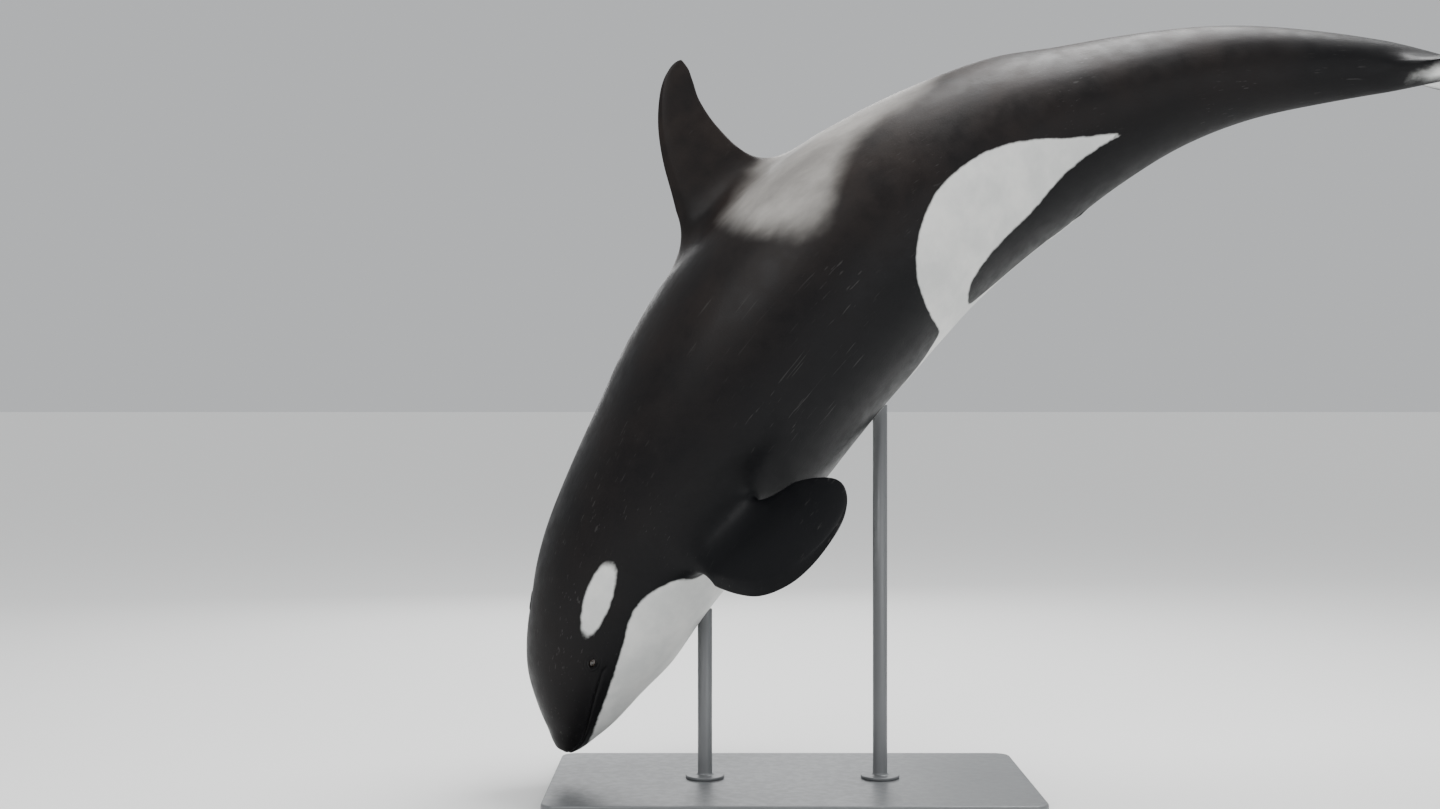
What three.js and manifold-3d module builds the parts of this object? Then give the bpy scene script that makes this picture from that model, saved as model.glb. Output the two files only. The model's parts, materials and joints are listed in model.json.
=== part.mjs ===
// Killer whale, life size, diving head first and turned towards its left side,
// held over a flat base by two plain rods. A still display model: nothing moves.
//
// Millimetres throughout. +Z is up, +X points from the nose towards the tail,
// and the whale's left side faces -Y. The origin is the centre of the underside
// of the base, straight below the heavy part of the body.

import * as THREE from 'three';
import { mergeVertices } from 'three/addons/utils/BufferGeometryUtils.js';
import Module from 'manifold-3d';

const wasm = await Module();
wasm.setup();

// Driving dimensions.

const BODY_LENGTH = 5600;          // snout to the notch between the flukes
const NOSE = { x: -979, z: 163 };  // where the snout tip hangs over the base
const GAP = 0.3;                   // clearance between pieces that meet

// Heading of the spine above the horizontal, in degrees, along the body.
const SPINE_HEADING = [
  [0, 80], [0.1, 69.5], [0.2, 60.5], [0.3, 55], [0.4, 48],
  [0.5, 38], [0.6, 28], [0.7, 18], [0.85, 3], [1, -3],
];

// Body stations: place along the body, height of the back above the spine,
// depth of the belly below it, half width, and the sharpness of the keels
// (1 is an ellipse). All but the last are fractions of the body length.
const STATIONS = [
  [0, 0, 0, 0, 1],
  [0.002, 0.0092, 0.0062, 0.0085, 1],
  [0.006, 0.0130, 0.0112, 0.0125, 1],
  [0.015, 0.0190, 0.0190, 0.0190, 1],
  [0.030, 0.0301, 0.0303, 0.0300, 1],
  [0.060, 0.0481, 0.0455, 0.0440, 1],
  [0.100, 0.0603, 0.0625, 0.0575, 1],
  [0.150, 0.0713, 0.0718, 0.0720, 1],
  [0.200, 0.0775, 0.0812, 0.0830, 1],
  [0.250, 0.0838, 0.0920, 0.0915, 1],
  [0.300, 0.0920, 0.0985, 0.0970, 1],
  [0.363, 0.0984, 0.0998, 0.1000, 1],
  [0.410, 0.0992, 0.0996, 0.0990, 1],
  [0.460, 0.0965, 0.0962, 0.0940, 1.03],
  [0.515, 0.0885, 0.0898, 0.0855, 1.08],
  [0.577, 0.0785, 0.0820, 0.0715, 1.15],
  [0.623, 0.0708, 0.0750, 0.0610, 1.2],
  [0.674, 0.0572, 0.0635, 0.0485, 1.25],
  [0.740, 0.0468, 0.0475, 0.0350, 1.3],
  [0.800, 0.0400, 0.0365, 0.0250, 1.35],
  [0.860, 0.0308, 0.0280, 0.0175, 1.35],
  [0.900, 0.0240, 0.0220, 0.0140, 1.3],
  [0.930, 0.0186, 0.0172, 0.0118, 1.25],
  [0.955, 0.0122, 0.0112, 0.0090, 1.2],
  [0.985, 0.0042, 0.0040, 0.0045, 1],
];

const COLUMNS_PER_SIDE = 20;       // faces from the back round to the belly
const HEAD_ROWS = 22;              // rings from the snout to the neck
const TRUNK_ROWS = 32;             // rings from the neck to the tail stock
const TAIL_ROWS = 14;              // rings along the tail stock
const TAIL_START = 0.712;          // the tail stock's rings are closer from here on
const TAIL_END = 0.985;            // the body closes here, inside the flukes
const TAIL_TIP = 0.003;            // and runs on to a point by this much

// Where the body is divided into pieces, along its length.
const NECK_CUT = 0.14;
const CHEST_CUT = 0.33;
const VENT_CUT = 0.62;
const FLUKE_CUT = 0.912;

// Mouth: a groove between two low lips, from the snout to the corner.
const MOUTH = {
  drop: 0.0125, dropLength: 0.009,     // how far the line lies below the spine
  begin: 0.004, corner: 0.078, fade: 0.010,
  grooveDepth: 7, grooveWidth: 5, lipHeight: 3.5, lipOffset: 17, lipWidth: 9,
};
const MOUTH_COLUMN = 12;           // this column of faces follows the mouth line
const MOUTH_COLUMN_STEP = 15;      // spacing of the columns beside it
const MOUTH_COLUMN_TURN = 0.13;    // and the most they may turn round the snout
const MOUTH_COLUMNS = 2;           // this many columns lie close on either side
const EVEN_FROM = 0.19;            // behind here the columns are spread evenly

// The cut that frees the lower jaw: from the corner of the mouth down to the foot of
// the jaw on the throat, and round below and ahead of the chin.
const JAW_CUT = {
  footAlong: 0.118, footBelow: 0.09, heelAlong: 0.078, ahead: -0.02, under: 0.14,
  steps: 16, crowding: 1.5, depth: 2000,
};

const EYE = {
  along: 0.081, below: 0.003, radius: 27, proud: 7,
  lidRing: 27, lidThickness: 8, lidLong: 1.18, lidTall: 0.86, lidSunk: 1,
};

const LID_SIDES = { tube: 8, ring: 28 };

const BLOWHOLE = { along: 0.105, radius: 52, width: 13, depth: 22, halfAngle: 62, segments: 14 };

// Dorsal fin outline in a frame set on the spine: distance along it and height
// over it, as fractions of the body length, for the front and the rear edge.
const DORSAL_FIN = {
  along: 0.415,
  front: [[0.070, -0.105], [0.0930, -0.0695], [0.0975, -0.0560], [0.1045, -0.0454], [0.1126, -0.0368],
    [0.1323, -0.0229], [0.1580, -0.0071], [0.1787, 0.0091], [0.1945, 0.0267],
    [0.2028, 0.0405], [0.2058, 0.0545]],
  rear: [[0.070, 0.0700], [0.0930, 0.0640], [0.0993, 0.0569], [0.1141, 0.0462], [0.1292, 0.0427],
    [0.1476, 0.0438], [0.1708, 0.0490], [0.1856, 0.0567], [0.1955, 0.0614],
    [0.2027, 0.0625], [0.2058, 0.0545]],
  rows: 17, thickness: 0.125, edge: 2.5,
  skinHeight: 0.095, flare: 0.35, flareHeight: 0.035, flareMost: 1.5,
};

// Flipper: a broad rounded paddle. The span leans tailward, down and out; the
// chord runs tailward and a little upwards. Offsets are along spine, dorsal
// and sideways; lengths are fractions of the body length.
const FLIPPER = {
  along: 0.2073, below: 0.0354, side: 0.060,
  span: [0.483, -0.590, 0.647], chord: [0.867, 0.220, -0.447],
  length: 0.1375, inset: 0.12,
  chordRoot: 0.0440, chordGrow: 0.1350, chordShrink: -0.0780, tipPower: 4.5,
  sweep: [[0, -0.0048], [0.25, -0.0099], [0.5, -0.0107], [0.75, -0.0050], [1, 0.0082]],
  rows: 14, thickness: 0.16, tipThinning: 0.4, shoulder: 0.6, shoulderLength: 0.15, edge: 3,
};

// Flukes: leading and trailing edge against the distance from the midline.
const FLUKES = {
  reach: 0.13,
  front: [[0, 0.912], [0.0125, 0.922], [0.03, 0.938], [0.06, 0.958], [0.09, 0.980],
    [0.115, 1.0], [0.13, 1.022]],
  rear: [[0, 1.0], [0.01, 1.008], [0.03, 1.014], [0.06, 1.012], [0.09, 1.010],
    [0.115, 1.016], [0.13, 1.022]],
  rows: 24, thickness: 0.15, tipRise: 0.008, edge: 2.5,
};

const FOIL_POINTS = 10;            // points from front to rear edge on each face
const FOIL_EDGE_RAMP = 8;          // the added edge is full after an eighth of the chord
// Half thickness of a rounded foil: factors of the root of t, t, and its powers.
const FOIL_FACTORS = [1.4845, -0.63, -1.758, 1.4215, -0.518];

const BASE = { length: 2100, depth: 1150, height: 50, bevel: 8, corner: 70, segments: 8 };
const RODS = {
  radius: 32, footRadius: 85, footHeight: 14, front: -375, rear: 397,
  top: 2200,                       // above the skin, which cuts the rod off
  sides: 28,
};

// Materials.

const skinColour = 0x14161a;
const eyeColour = 0x1a120c;
const standColour = 0x6d7072;

const skinMaterial = () => new THREE.MeshStandardMaterial({ color: skinColour, roughness: 0.35 });
const eyeMaterial = () => new THREE.MeshStandardMaterial({ color: eyeColour, roughness: 0.1 });
const standMaterial = () => new THREE.MeshStandardMaterial({
  color: standColour, roughness: 0.5, metalness: 0.6,
});

// Curves.

// A curve through [x, y] pairs that never overshoots them.
function curve(points) {
  const last = points.length - 1;
  const slope = [];
  for (let i = 0; i < last; i++) {
    slope.push((points[i + 1][1] - points[i][1]) / (points[i + 1][0] - points[i][0]));
  }
  const tangent = points.map((_, i) => {
    if (i === 0) return slope[0];
    if (i === last) return slope[last - 1];
    const a = slope[i - 1];
    const b = slope[i];
    return a * b <= 0 ? 0 : (2 * a * b) / (a + b);
  });
  return (x) => {
    const clamped = THREE.MathUtils.clamp(x, points[0][0], points[last][0]);
    let i = 0;
    while (i < last - 1 && clamped > points[i + 1][0]) i++;
    const width = points[i + 1][0] - points[i][0];
    const t = (clamped - points[i][0]) / width;
    const t2 = t * t;
    const t3 = t2 * t;
    return (2 * t3 - 3 * t2 + 1) * points[i][1] + (t3 - 2 * t2 + t) * width * tangent[i]
      + (3 * t2 - 2 * t3) * points[i + 1][1] + (t3 - t2) * width * tangent[i + 1];
  };
}

// The snout is blunt, so station curves run over the square root of the place.
function stationCurve(column) {
  const inner = curve(STATIONS.map((station) => [Math.sqrt(station[0]), station[column]]));
  return (s) => inner(Math.sqrt(Math.max(s, 0)));
}

const backAt = stationCurve(1);
const bellyAt = stationCurve(2);
const halfWidthAt = stationCurve(3);
const keelAt = stationCurve(4);
const headingAt = curve(SPINE_HEADING);

// The spine, walked from the snout in short steps along its heading.
const SPINE_STEPS = 800;
const spine = [new THREE.Vector2(NOSE.x, NOSE.z)];
for (let i = 0; i < SPINE_STEPS; i++) {
  const angle = THREE.MathUtils.degToRad(headingAt((i + 0.5) / SPINE_STEPS));
  const step = BODY_LENGTH / SPINE_STEPS;
  const from = spine[i];
  spine.push(new THREE.Vector2(from.x + Math.cos(angle) * step, from.y + Math.sin(angle) * step));
}

// Origin, tailward, sideways and dorsal directions at place s on the spine.
function spineFrame(s) {
  const angle = THREE.MathUtils.degToRad(headingAt(s));
  const tailward = new THREE.Vector3(Math.cos(angle), 0, Math.sin(angle));
  const dorsal = new THREE.Vector3(-Math.sin(angle), 0, Math.cos(angle));
  const inside = THREE.MathUtils.clamp(s, 0, 1);
  const i = Math.min(Math.floor(inside * SPINE_STEPS), SPINE_STEPS - 1);
  const point = spine[i].clone().lerp(spine[i + 1], inside * SPINE_STEPS - i);
  const origin = new THREE.Vector3(point.x, 0, point.y);
  origin.addScaledVector(tailward, (s - inside) * BODY_LENGTH);
  return { origin, tailward, dorsal };
}

// Place s along the bent body, y sideways and z dorsal, into the part's frame.
function bend(s, y, z) {
  const { origin, dorsal } = spineFrame(s);
  const point = origin.clone().addScaledVector(dorsal, z);
  point.y = y;
  return point;
}

// Body surface.

function mouthHeight(s) {
  return -MOUTH.drop * (1 - Math.exp(-s / MOUTH.dropLength));
}

// Angle of the mouth line round the section, from the top of the back.
function mouthAngle(s) {
  const depth = bellyAt(Math.max(s, 1e-6));
  return Math.acos(THREE.MathUtils.clamp(mouthHeight(s) / depth, -0.9, 0));
}

// Lips and groove: how far the skin stands out at a distance from the mouth line.
function mouthRelief(s, distance) {
  const along = THREE.MathUtils.smoothstep(s, 0, MOUTH.begin)
    * (1 - THREE.MathUtils.smoothstep(s, MOUTH.corner - MOUTH.fade, MOUTH.corner));
  const groove = -MOUTH.grooveDepth * Math.exp(-((distance / MOUTH.grooveWidth) ** 2));
  const offLip = (Math.abs(distance) - MOUTH.lipOffset) / MOUTH.lipWidth;
  return along * (groove + MOUTH.lipHeight * Math.exp(-(offLip ** 2)));
}

// A point on the skin; angle runs 0 on the back to PI on the belly, and a
// negative angle is the whale's left.
function bodyPoint(s, angle, grow = 0) {
  const c = Math.cos(angle);
  const n = Math.sin(angle);
  const height = (c >= 0 ? backAt(s) : bellyAt(s)) * BODY_LENGTH + grow;
  const width = halfWidthAt(s) * BODY_LENGTH + grow;
  const distance = (Math.abs(angle) - mouthAngle(s)) * 0.5 * (height + width);
  const relief = mouthRelief(s, distance);
  const y = width * Math.sign(n) * Math.abs(n) ** keelAt(s) + relief * n;
  return bend(s, y, height * c + relief * c);
}

// Angles of the face columns down one side. On the head they gather beside the
// mouth line, and behind it they spread out evenly.
function columnAngles(s) {
  const even = (i) => (i / COLUMNS_PER_SIDE) * Math.PI;
  const radius = 0.5 * (bellyAt(s) + halfWidthAt(s)) * BODY_LENGTH;
  const step = Math.min(MOUTH_COLUMN_STEP / Math.max(radius, 1), MOUTH_COLUMN_TURN);
  const line = mouthAngle(s);
  const gathered = (i) => {
    const offset = i - MOUTH_COLUMN;
    if (Math.abs(offset) <= MOUTH_COLUMNS) return line + offset * step;
    if (offset < 0) return ((line - MOUTH_COLUMNS * step) * i) / (MOUTH_COLUMN - MOUTH_COLUMNS);
    const t = (offset - MOUTH_COLUMNS) / (COLUMNS_PER_SIDE - MOUTH_COLUMN - MOUTH_COLUMNS);
    return THREE.MathUtils.lerp(line + MOUTH_COLUMNS * step, Math.PI, t);
  };
  const spread = THREE.MathUtils.smoothstep(s, MOUTH.corner, EVEN_FROM);
  return Array.from({ length: COLUMNS_PER_SIDE + 1 },
    (_, i) => THREE.MathUtils.lerp(gathered(i), even(i), spread));
}

function bodyRing(s, grow) {
  const angles = columnAngles(s);
  const right = angles.map((angle) => bodyPoint(s, angle, grow));
  const left = angles.slice(1, -1).reverse().map((angle) => bodyPoint(s, -angle, grow));
  return right.concat(left);
}

// A closed surface from a pole, rings of equal length, and a pole.
function closedRows(firstPole, rings, lastPole) {
  const count = rings[0].length;
  const points = [firstPole, ...rings.flat(), lastPole];
  const index = [];
  const at = (row, column) => 1 + row * count + (column % count);
  for (let j = 0; j < count; j++) {
    index.push(0, at(0, j), at(0, j + 1));
    for (let i = 0; i < rings.length - 1; i++) {
      index.push(at(i, j), at(i + 1, j), at(i + 1, j + 1));
      index.push(at(i, j), at(i + 1, j + 1), at(i, j + 1));
    }
    index.push(points.length - 1, at(rings.length - 1, j + 1), at(rings.length - 1, j));
  }
  const geometry = new THREE.BufferGeometry().setFromPoints(points);
  geometry.setIndex(index);
  return geometry;
}

function bodyGeometry(grow = 0) {
  const rings = [];
  const neckRoot = Math.sqrt(NECK_CUT);
  for (let i = 1; i <= HEAD_ROWS; i++) rings.push(((i / HEAD_ROWS) * neckRoot) ** 2);
  for (let i = 1; i <= TRUNK_ROWS; i++) {
    rings.push(THREE.MathUtils.lerp(NECK_CUT, TAIL_START, i / TRUNK_ROWS));
  }
  for (let i = 1; i <= TAIL_ROWS; i++) {
    rings.push(THREE.MathUtils.lerp(TAIL_START, TAIL_END, i / TAIL_ROWS));
  }
  return closedRows(bend(0, 0, 0).addScaledVector(spineFrame(0).tailward, -grow),
    rings.map((s) => bodyRing(s, grow)), bend(TAIL_END + TAIL_TIP, 0, 0));
}

// Fins.

// Half thickness over chord of a rounded foil, t from front (0) to rear (1).
function foilHalf(t) {
  const [root, first, second, third, fourth] = FOIL_FACTORS;
  return root * Math.sqrt(t) + first * t + second * t ** 2 + third * t ** 3 + fourth * t ** 4;
}

// A loop round one foil section: place(t, h) puts chord fraction t and height h.
function foilLoop(place, chord, thickness, edge) {
  const loop = [];
  for (let i = 0; i <= FOIL_POINTS; i++) {
    const t = 0.5 - 0.5 * Math.cos((i / FOIL_POINTS) * Math.PI);
    const round = Math.min(1, FOIL_EDGE_RAMP * t);
    loop.push([t, foilHalf(t) * thickness * chord + edge * round]);
  }
  const upper = loop.slice(1).map(([t, h]) => place(t, h));
  const lower = loop.slice(1).reverse().map(([t, h]) => place(t, -h));
  return [place(0, 0), ...upper, ...lower];
}

// An edge that runs over the square root of the drop below the tip, so that the
// front and the rear edge meet there in a round end.
function edgeBelow(high, points) {
  const inner = curve(points.map(([h, a]) => [Math.sqrt(high - h), a]).reverse());
  return (h) => inner(Math.sqrt(Math.max(high - h, 0)));
}

function dorsalFinGeometry() {
  const fin = DORSAL_FIN;
  const frame = spineFrame(fin.along);
  const low = fin.front[0][0];
  const high = fin.front[fin.front.length - 1][0];
  const frontAt = edgeBelow(high, fin.front);
  const rearAt = edgeBelow(high, fin.rear);
  const finPoint = (a, y, h) => {
    const point = frame.origin.clone().addScaledVector(frame.tailward, a * BODY_LENGTH)
      .addScaledVector(frame.dorsal, h * BODY_LENGTH);
    point.y = y;
    return point;
  };
  const rings = [];
  for (let i = 0; i < fin.rows; i++) {
    const h = THREE.MathUtils.lerp(low, high, Math.sin((i / fin.rows) * Math.PI * 0.5));
    const a0 = frontAt(h);
    const a1 = rearAt(h);
    const nearBody = Math.exp((fin.skinHeight - h) / fin.flareHeight);
    const thickness = fin.thickness * (1 + fin.flare * Math.min(nearBody, fin.flareMost));
    rings.push(foilLoop((t, y) => finPoint(THREE.MathUtils.lerp(a0, a1, t), y, h),
      (a1 - a0) * BODY_LENGTH, thickness, fin.edge));
  }
  const foot = finPoint(0.5 * (frontAt(low) + rearAt(low)), 0, low);
  return closedRows(foot, rings, finPoint(frontAt(high), 0, high));
}

// The side is +1 for the whale's right, which faces +Y, and -1 for its left.
function flipperGeometry(side) {
  const fin = FLIPPER;
  const frame = spineFrame(fin.along);
  const axes = (v) => new THREE.Vector3().addScaledVector(frame.tailward, v[0])
    .addScaledVector(frame.dorsal, v[1]).add(new THREE.Vector3(0, side * v[2], 0));
  const span = axes(fin.span).normalize();
  const chordWay = axes(fin.chord).normalize();
  const normal = span.clone().cross(chordWay).normalize();
  const root = frame.origin.clone().addScaledVector(frame.dorsal, -fin.below * BODY_LENGTH);
  root.y = side * fin.side * BODY_LENGTH;
  const sweepAt = curve(fin.sweep);
  const rowPoint = (t, across, h) => root.clone()
    .addScaledVector(span, t * fin.length * BODY_LENGTH)
    .addScaledVector(chordWay, across * BODY_LENGTH).addScaledVector(normal, h);
  const rings = [];
  for (let i = 0; i < fin.rows; i++) {
    const u = Math.sin((i / fin.rows) * Math.PI * 0.5);
    const t = THREE.MathUtils.lerp(-fin.inset, 1, u);
    const inner = Math.max(t, 0);
    const chord = (fin.chordRoot + fin.chordGrow * inner + fin.chordShrink * inner * inner)
      * Math.sqrt(1 - inner ** fin.tipPower);
    const middle = sweepAt(inner);
    rings.push(foilLoop((f, h) => rowPoint(t, middle + (f - 0.5) * chord, h),
      chord * BODY_LENGTH, fin.thickness * (1 - fin.tipThinning * inner
        + fin.shoulder * Math.exp(-inner / fin.shoulderLength)), fin.edge));
  }
  return closedRows(rowPoint(-fin.inset, 0, 0), rings, rowPoint(1, sweepAt(1), 0));
}

function flukeGeometry() {
  const fin = FLUKES;
  const frontAt = curve(fin.front);
  const rearAt = curve(fin.rear);
  const rings = [];
  for (let i = 1; i < fin.rows; i++) {
    const v = Math.sin((i / fin.rows - 0.5) * Math.PI);
    const y = Math.abs(v) * fin.reach;
    const s0 = frontAt(y);
    const s1 = rearAt(y);
    const rise = fin.tipRise * v * v * BODY_LENGTH;
    rings.push(foilLoop((t, h) => bend(THREE.MathUtils.lerp(s0, s1, t), v * fin.reach * BODY_LENGTH,
      rise + h), (s1 - s0) * BODY_LENGTH, fin.thickness, fin.edge));
  }
  const tip = (side) => bend(frontAt(fin.reach), side * fin.reach * BODY_LENGTH,
    fin.tipRise * BODY_LENGTH);
  return closedRows(tip(-1), rings, tip(1));
}

// Joining and cutting.

function solid(geometry) {
  const bare = geometry.clone();
  bare.deleteAttribute('normal');
  bare.deleteAttribute('uv');
  const merged = mergeVertices(bare, 1e-3);
  const vertProperties = Float32Array.from(merged.attributes.position.array);
  const triVerts = Uint32Array.from(merged.index.array);
  const shape = new wasm.Manifold(new wasm.Mesh({ numProp: 3, vertProperties, triVerts }));
  if (shape.volume() > 0) return shape;
  const flipped = Uint32Array.from(triVerts);
  for (let i = 0; i < flipped.length; i += 3) {
    flipped[i] = triVerts[i + 1];
    flipped[i + 1] = triVerts[i];
  }
  return new wasm.Manifold(new wasm.Mesh({ numProp: 3, vertProperties, triVerts: flipped }));
}

function largest(shape) {
  return shape.decompose().reduce((best, piece) => (piece.volume() > best.volume() ? piece : best));
}

function meshOf(shape, name, material) {
  const { vertProperties, triVerts } = largest(shape).getMesh();
  const geometry = new THREE.BufferGeometry();
  geometry.setAttribute('position', new THREE.BufferAttribute(Float32Array.from(vertProperties), 3));
  geometry.setIndex(new THREE.BufferAttribute(Uint32Array.from(triVerts), 1));
  geometry.computeVertexNormals();
  const mesh = new THREE.Mesh(geometry, material);
  mesh.name = name;
  return mesh;
}

// Everything on the tail side (way 1) or the head side (way -1) of place s.
const REACH = 9000;
function halfSpace(s, way) {
  const { origin, tailward, dorsal } = spineFrame(s);
  const box = new THREE.BoxGeometry(REACH, REACH, REACH);
  box.translate(way * (REACH * 0.5 + GAP * 0.5), 0, 0);
  const turn = new THREE.Matrix4().makeBasis(tailward, new THREE.Vector3(0, 1, 0), dorsal);
  box.applyMatrix4(turn.setPosition(origin));
  return solid(box);
}

function sideSpace(side) {
  const box = new THREE.BoxGeometry(REACH, REACH, REACH);
  box.translate(0, side * (REACH * 0.5 + GAP * 0.5), 0);
  return solid(box);
}

// The lower jaw's outline seen from the side, pushed right across the head.
// Shift moves its upper and rear faces away from the jaw by that much.
function jawPrism(shift) {
  const outline = [];
  const push = (s, z) => {
    const { tailward, dorsal } = spineFrame(Math.max(s, 0));
    const point = bend(s, 0, z * BODY_LENGTH).addScaledVector(dorsal, shift)
      .addScaledVector(tailward, s > 0.5 * MOUTH.corner ? shift : 0);
    outline.push(new THREE.Vector2(point.x, point.z));
  };
  push(JAW_CUT.ahead, 0);
  push(0, 0);
  for (let i = 1; i <= JAW_CUT.steps; i++) {
    const s = MOUTH.corner * (i / JAW_CUT.steps) ** JAW_CUT.crowding;
    push(s, mouthHeight(s));
  }
  push(JAW_CUT.footAlong, -JAW_CUT.footBelow);
  push(JAW_CUT.heelAlong, -JAW_CUT.under);
  push(JAW_CUT.ahead, -JAW_CUT.under);
  const prism = new THREE.ExtrudeGeometry(new THREE.Shape(outline),
    { depth: JAW_CUT.depth, bevelEnabled: false, steps: 1 });
  prism.translate(0, 0, -JAW_CUT.depth * 0.5);
  prism.rotateX(Math.PI * 0.5);
  return solid(prism);
}

// A frame on the skin: point, outward, and the two directions along the skin.
function skinFrame(s, angle) {
  const nudge = 1e-3;
  const point = bodyPoint(s, angle);
  const along = bodyPoint(s + nudge, angle).sub(bodyPoint(s - nudge, angle)).normalize();
  const round = bodyPoint(s, angle + nudge).sub(bodyPoint(s, angle - nudge));
  const outward = along.clone().cross(round).normalize();
  const fromSpine = point.clone().sub(spineFrame(s).origin);
  if (outward.dot(fromSpine) < 0) outward.negate();
  const across = outward.clone().cross(along).normalize();
  return { point, outward, along, across };
}

function place(geometry, frame, x, y, z) {
  const origin = frame.point.clone().addScaledVector(frame.along, x)
    .addScaledVector(frame.across, y).addScaledVector(frame.outward, z);
  const turn = new THREE.Matrix4().makeBasis(frame.along, frame.across, frame.outward);
  geometry.applyMatrix4(turn.setPosition(origin));
  return geometry;
}

function eyeFrame(side) {
  const angle = Math.acos(-EYE.below / bellyAt(EYE.along));
  return skinFrame(EYE.along, side * angle);
}

function eyeball(side, grow = 0) {
  const ball = new THREE.IcosahedronGeometry(EYE.radius + grow, 4);
  return solid(place(ball, eyeFrame(side), 0, 0, EYE.proud - EYE.radius));
}

function lidRing(side) {
  const ring = new THREE.TorusGeometry(EYE.lidRing, EYE.lidThickness, LID_SIDES.tube, LID_SIDES.ring);
  ring.scale(EYE.lidLong, EYE.lidTall, 1);
  return solid(place(ring, eyeFrame(side), 0, 0, -EYE.lidSunk));
}

// The blowhole: a crescent slot on top of the head, hollow side forward.
function blowholeCutter() {
  const spread = THREE.MathUtils.degToRad(BLOWHOLE.halfAngle);
  const outer = BLOWHOLE.radius + BLOWHOLE.width * 0.5;
  const inner = BLOWHOLE.radius - BLOWHOLE.width * 0.5;
  const shape = new THREE.Shape();
  shape.absarc(0, 0, outer, -spread, spread, false);
  shape.absarc(0, 0, inner, spread, -spread, true);
  const slot = new THREE.ExtrudeGeometry(shape,
    { depth: 2 * BLOWHOLE.depth, bevelEnabled: false, curveSegments: BLOWHOLE.segments });
  return solid(place(slot, skinFrame(BLOWHOLE.along, 0), -BLOWHOLE.radius, 0, -BLOWHOLE.depth));
}

// Stand.

function baseSolid() {
  const outline = new THREE.Shape();
  const radius = BASE.corner - BASE.bevel;
  const x = BASE.length * 0.5 - BASE.corner;
  const y = BASE.depth * 0.5 - BASE.corner;
  outline.absarc(x, y, radius, 0, Math.PI * 0.5);
  outline.absarc(-x, y, radius, Math.PI * 0.5, Math.PI);
  outline.absarc(-x, -y, radius, Math.PI, Math.PI * 1.5);
  outline.absarc(x, -y, radius, Math.PI * 1.5, Math.PI * 2);
  const plate = new THREE.ExtrudeGeometry(outline, {
    depth: BASE.height - BASE.bevel, bevelEnabled: true, bevelSize: BASE.bevel,
    bevelThickness: BASE.bevel, bevelSegments: 1, curveSegments: BASE.segments,
  });
  const under = new THREE.BoxGeometry(BASE.length * 2, BASE.depth * 2, BASE.height);
  under.translate(0, 0, -BASE.height * 0.5);
  return solid(plate).subtract(solid(under));
}

function rodSolid(x) {
  const bottom = BASE.height + GAP;
  const rod = new THREE.CylinderGeometry(RODS.radius, RODS.radius, RODS.top - bottom, RODS.sides);
  rod.rotateX(Math.PI * 0.5).translate(x, 0, (RODS.top + bottom) * 0.5);
  const foot = new THREE.CylinderGeometry(RODS.footRadius, RODS.footRadius, RODS.footHeight, RODS.sides);
  foot.rotateX(Math.PI * 0.5).translate(x, 0, bottom + RODS.footHeight * 0.5);
  return solid(rod).add(solid(foot));
}

// The rod as far as the skin it stops at: the lowest of the pieces left over.
function rodUnder(x, skin) {
  return rodSolid(x).subtract(skin).decompose()
    .reduce((low, piece) => (piece.boundingBox().min[2] < low.boundingBox().min[2] ? piece : low));
}

// The whale.

const body = solid(bodyGeometry()).add(solid(flukeGeometry()));
const skinClearance = solid(bodyGeometry(GAP));

const headBlock = body.intersect(halfSpace(NECK_CUT, -1))
  .add(lidRing(-1)).add(lidRing(1)).subtract(blowholeCutter());
const head = headBlock.subtract(jawPrism(GAP * 0.5))
  .subtract(eyeball(-1, GAP)).subtract(eyeball(1, GAP));
const lowerJaw = headBlock.intersect(jawPrism(-GAP * 0.5));
const chest = body.intersect(halfSpace(NECK_CUT, 1)).intersect(halfSpace(CHEST_CUT, -1));
const belly = body.intersect(halfSpace(CHEST_CUT, 1)).intersect(halfSpace(VENT_CUT, -1));
const tailStock = body.intersect(halfSpace(VENT_CUT, 1)).intersect(halfSpace(FLUKE_CUT, -1));
const tail = body.intersect(halfSpace(FLUKE_CUT, 1));

const group = new THREE.Group();
group.name = 'orca';
group.add(
  meshOf(head, 'head', skinMaterial()),
  meshOf(lowerJaw, 'lower_jaw', skinMaterial()),
  meshOf(eyeball(-1), 'eye_left', eyeMaterial()),
  meshOf(eyeball(1), 'eye_right', eyeMaterial()),
  meshOf(chest, 'chest', skinMaterial()),
  meshOf(belly, 'belly', skinMaterial()),
  meshOf(tailStock, 'tail_stock', skinMaterial()),
  meshOf(tail.intersect(sideSpace(-1)), 'fluke_left', skinMaterial()),
  meshOf(tail.intersect(sideSpace(1)), 'fluke_right', skinMaterial()),
  meshOf(solid(dorsalFinGeometry()).subtract(skinClearance), 'dorsal_fin', skinMaterial()),
  meshOf(solid(flipperGeometry(-1)).subtract(skinClearance), 'flipper_left', skinMaterial()),
  meshOf(solid(flipperGeometry(1)).subtract(skinClearance), 'flipper_right', skinMaterial()),
  meshOf(baseSolid(), 'stand_base', standMaterial()),
  meshOf(rodUnder(RODS.front, skinClearance), 'stand_rod_front', standMaterial()),
  meshOf(rodUnder(RODS.rear, skinClearance), 'stand_rod_rear', standMaterial()),
);

export default group;
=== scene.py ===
import json
import math

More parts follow.
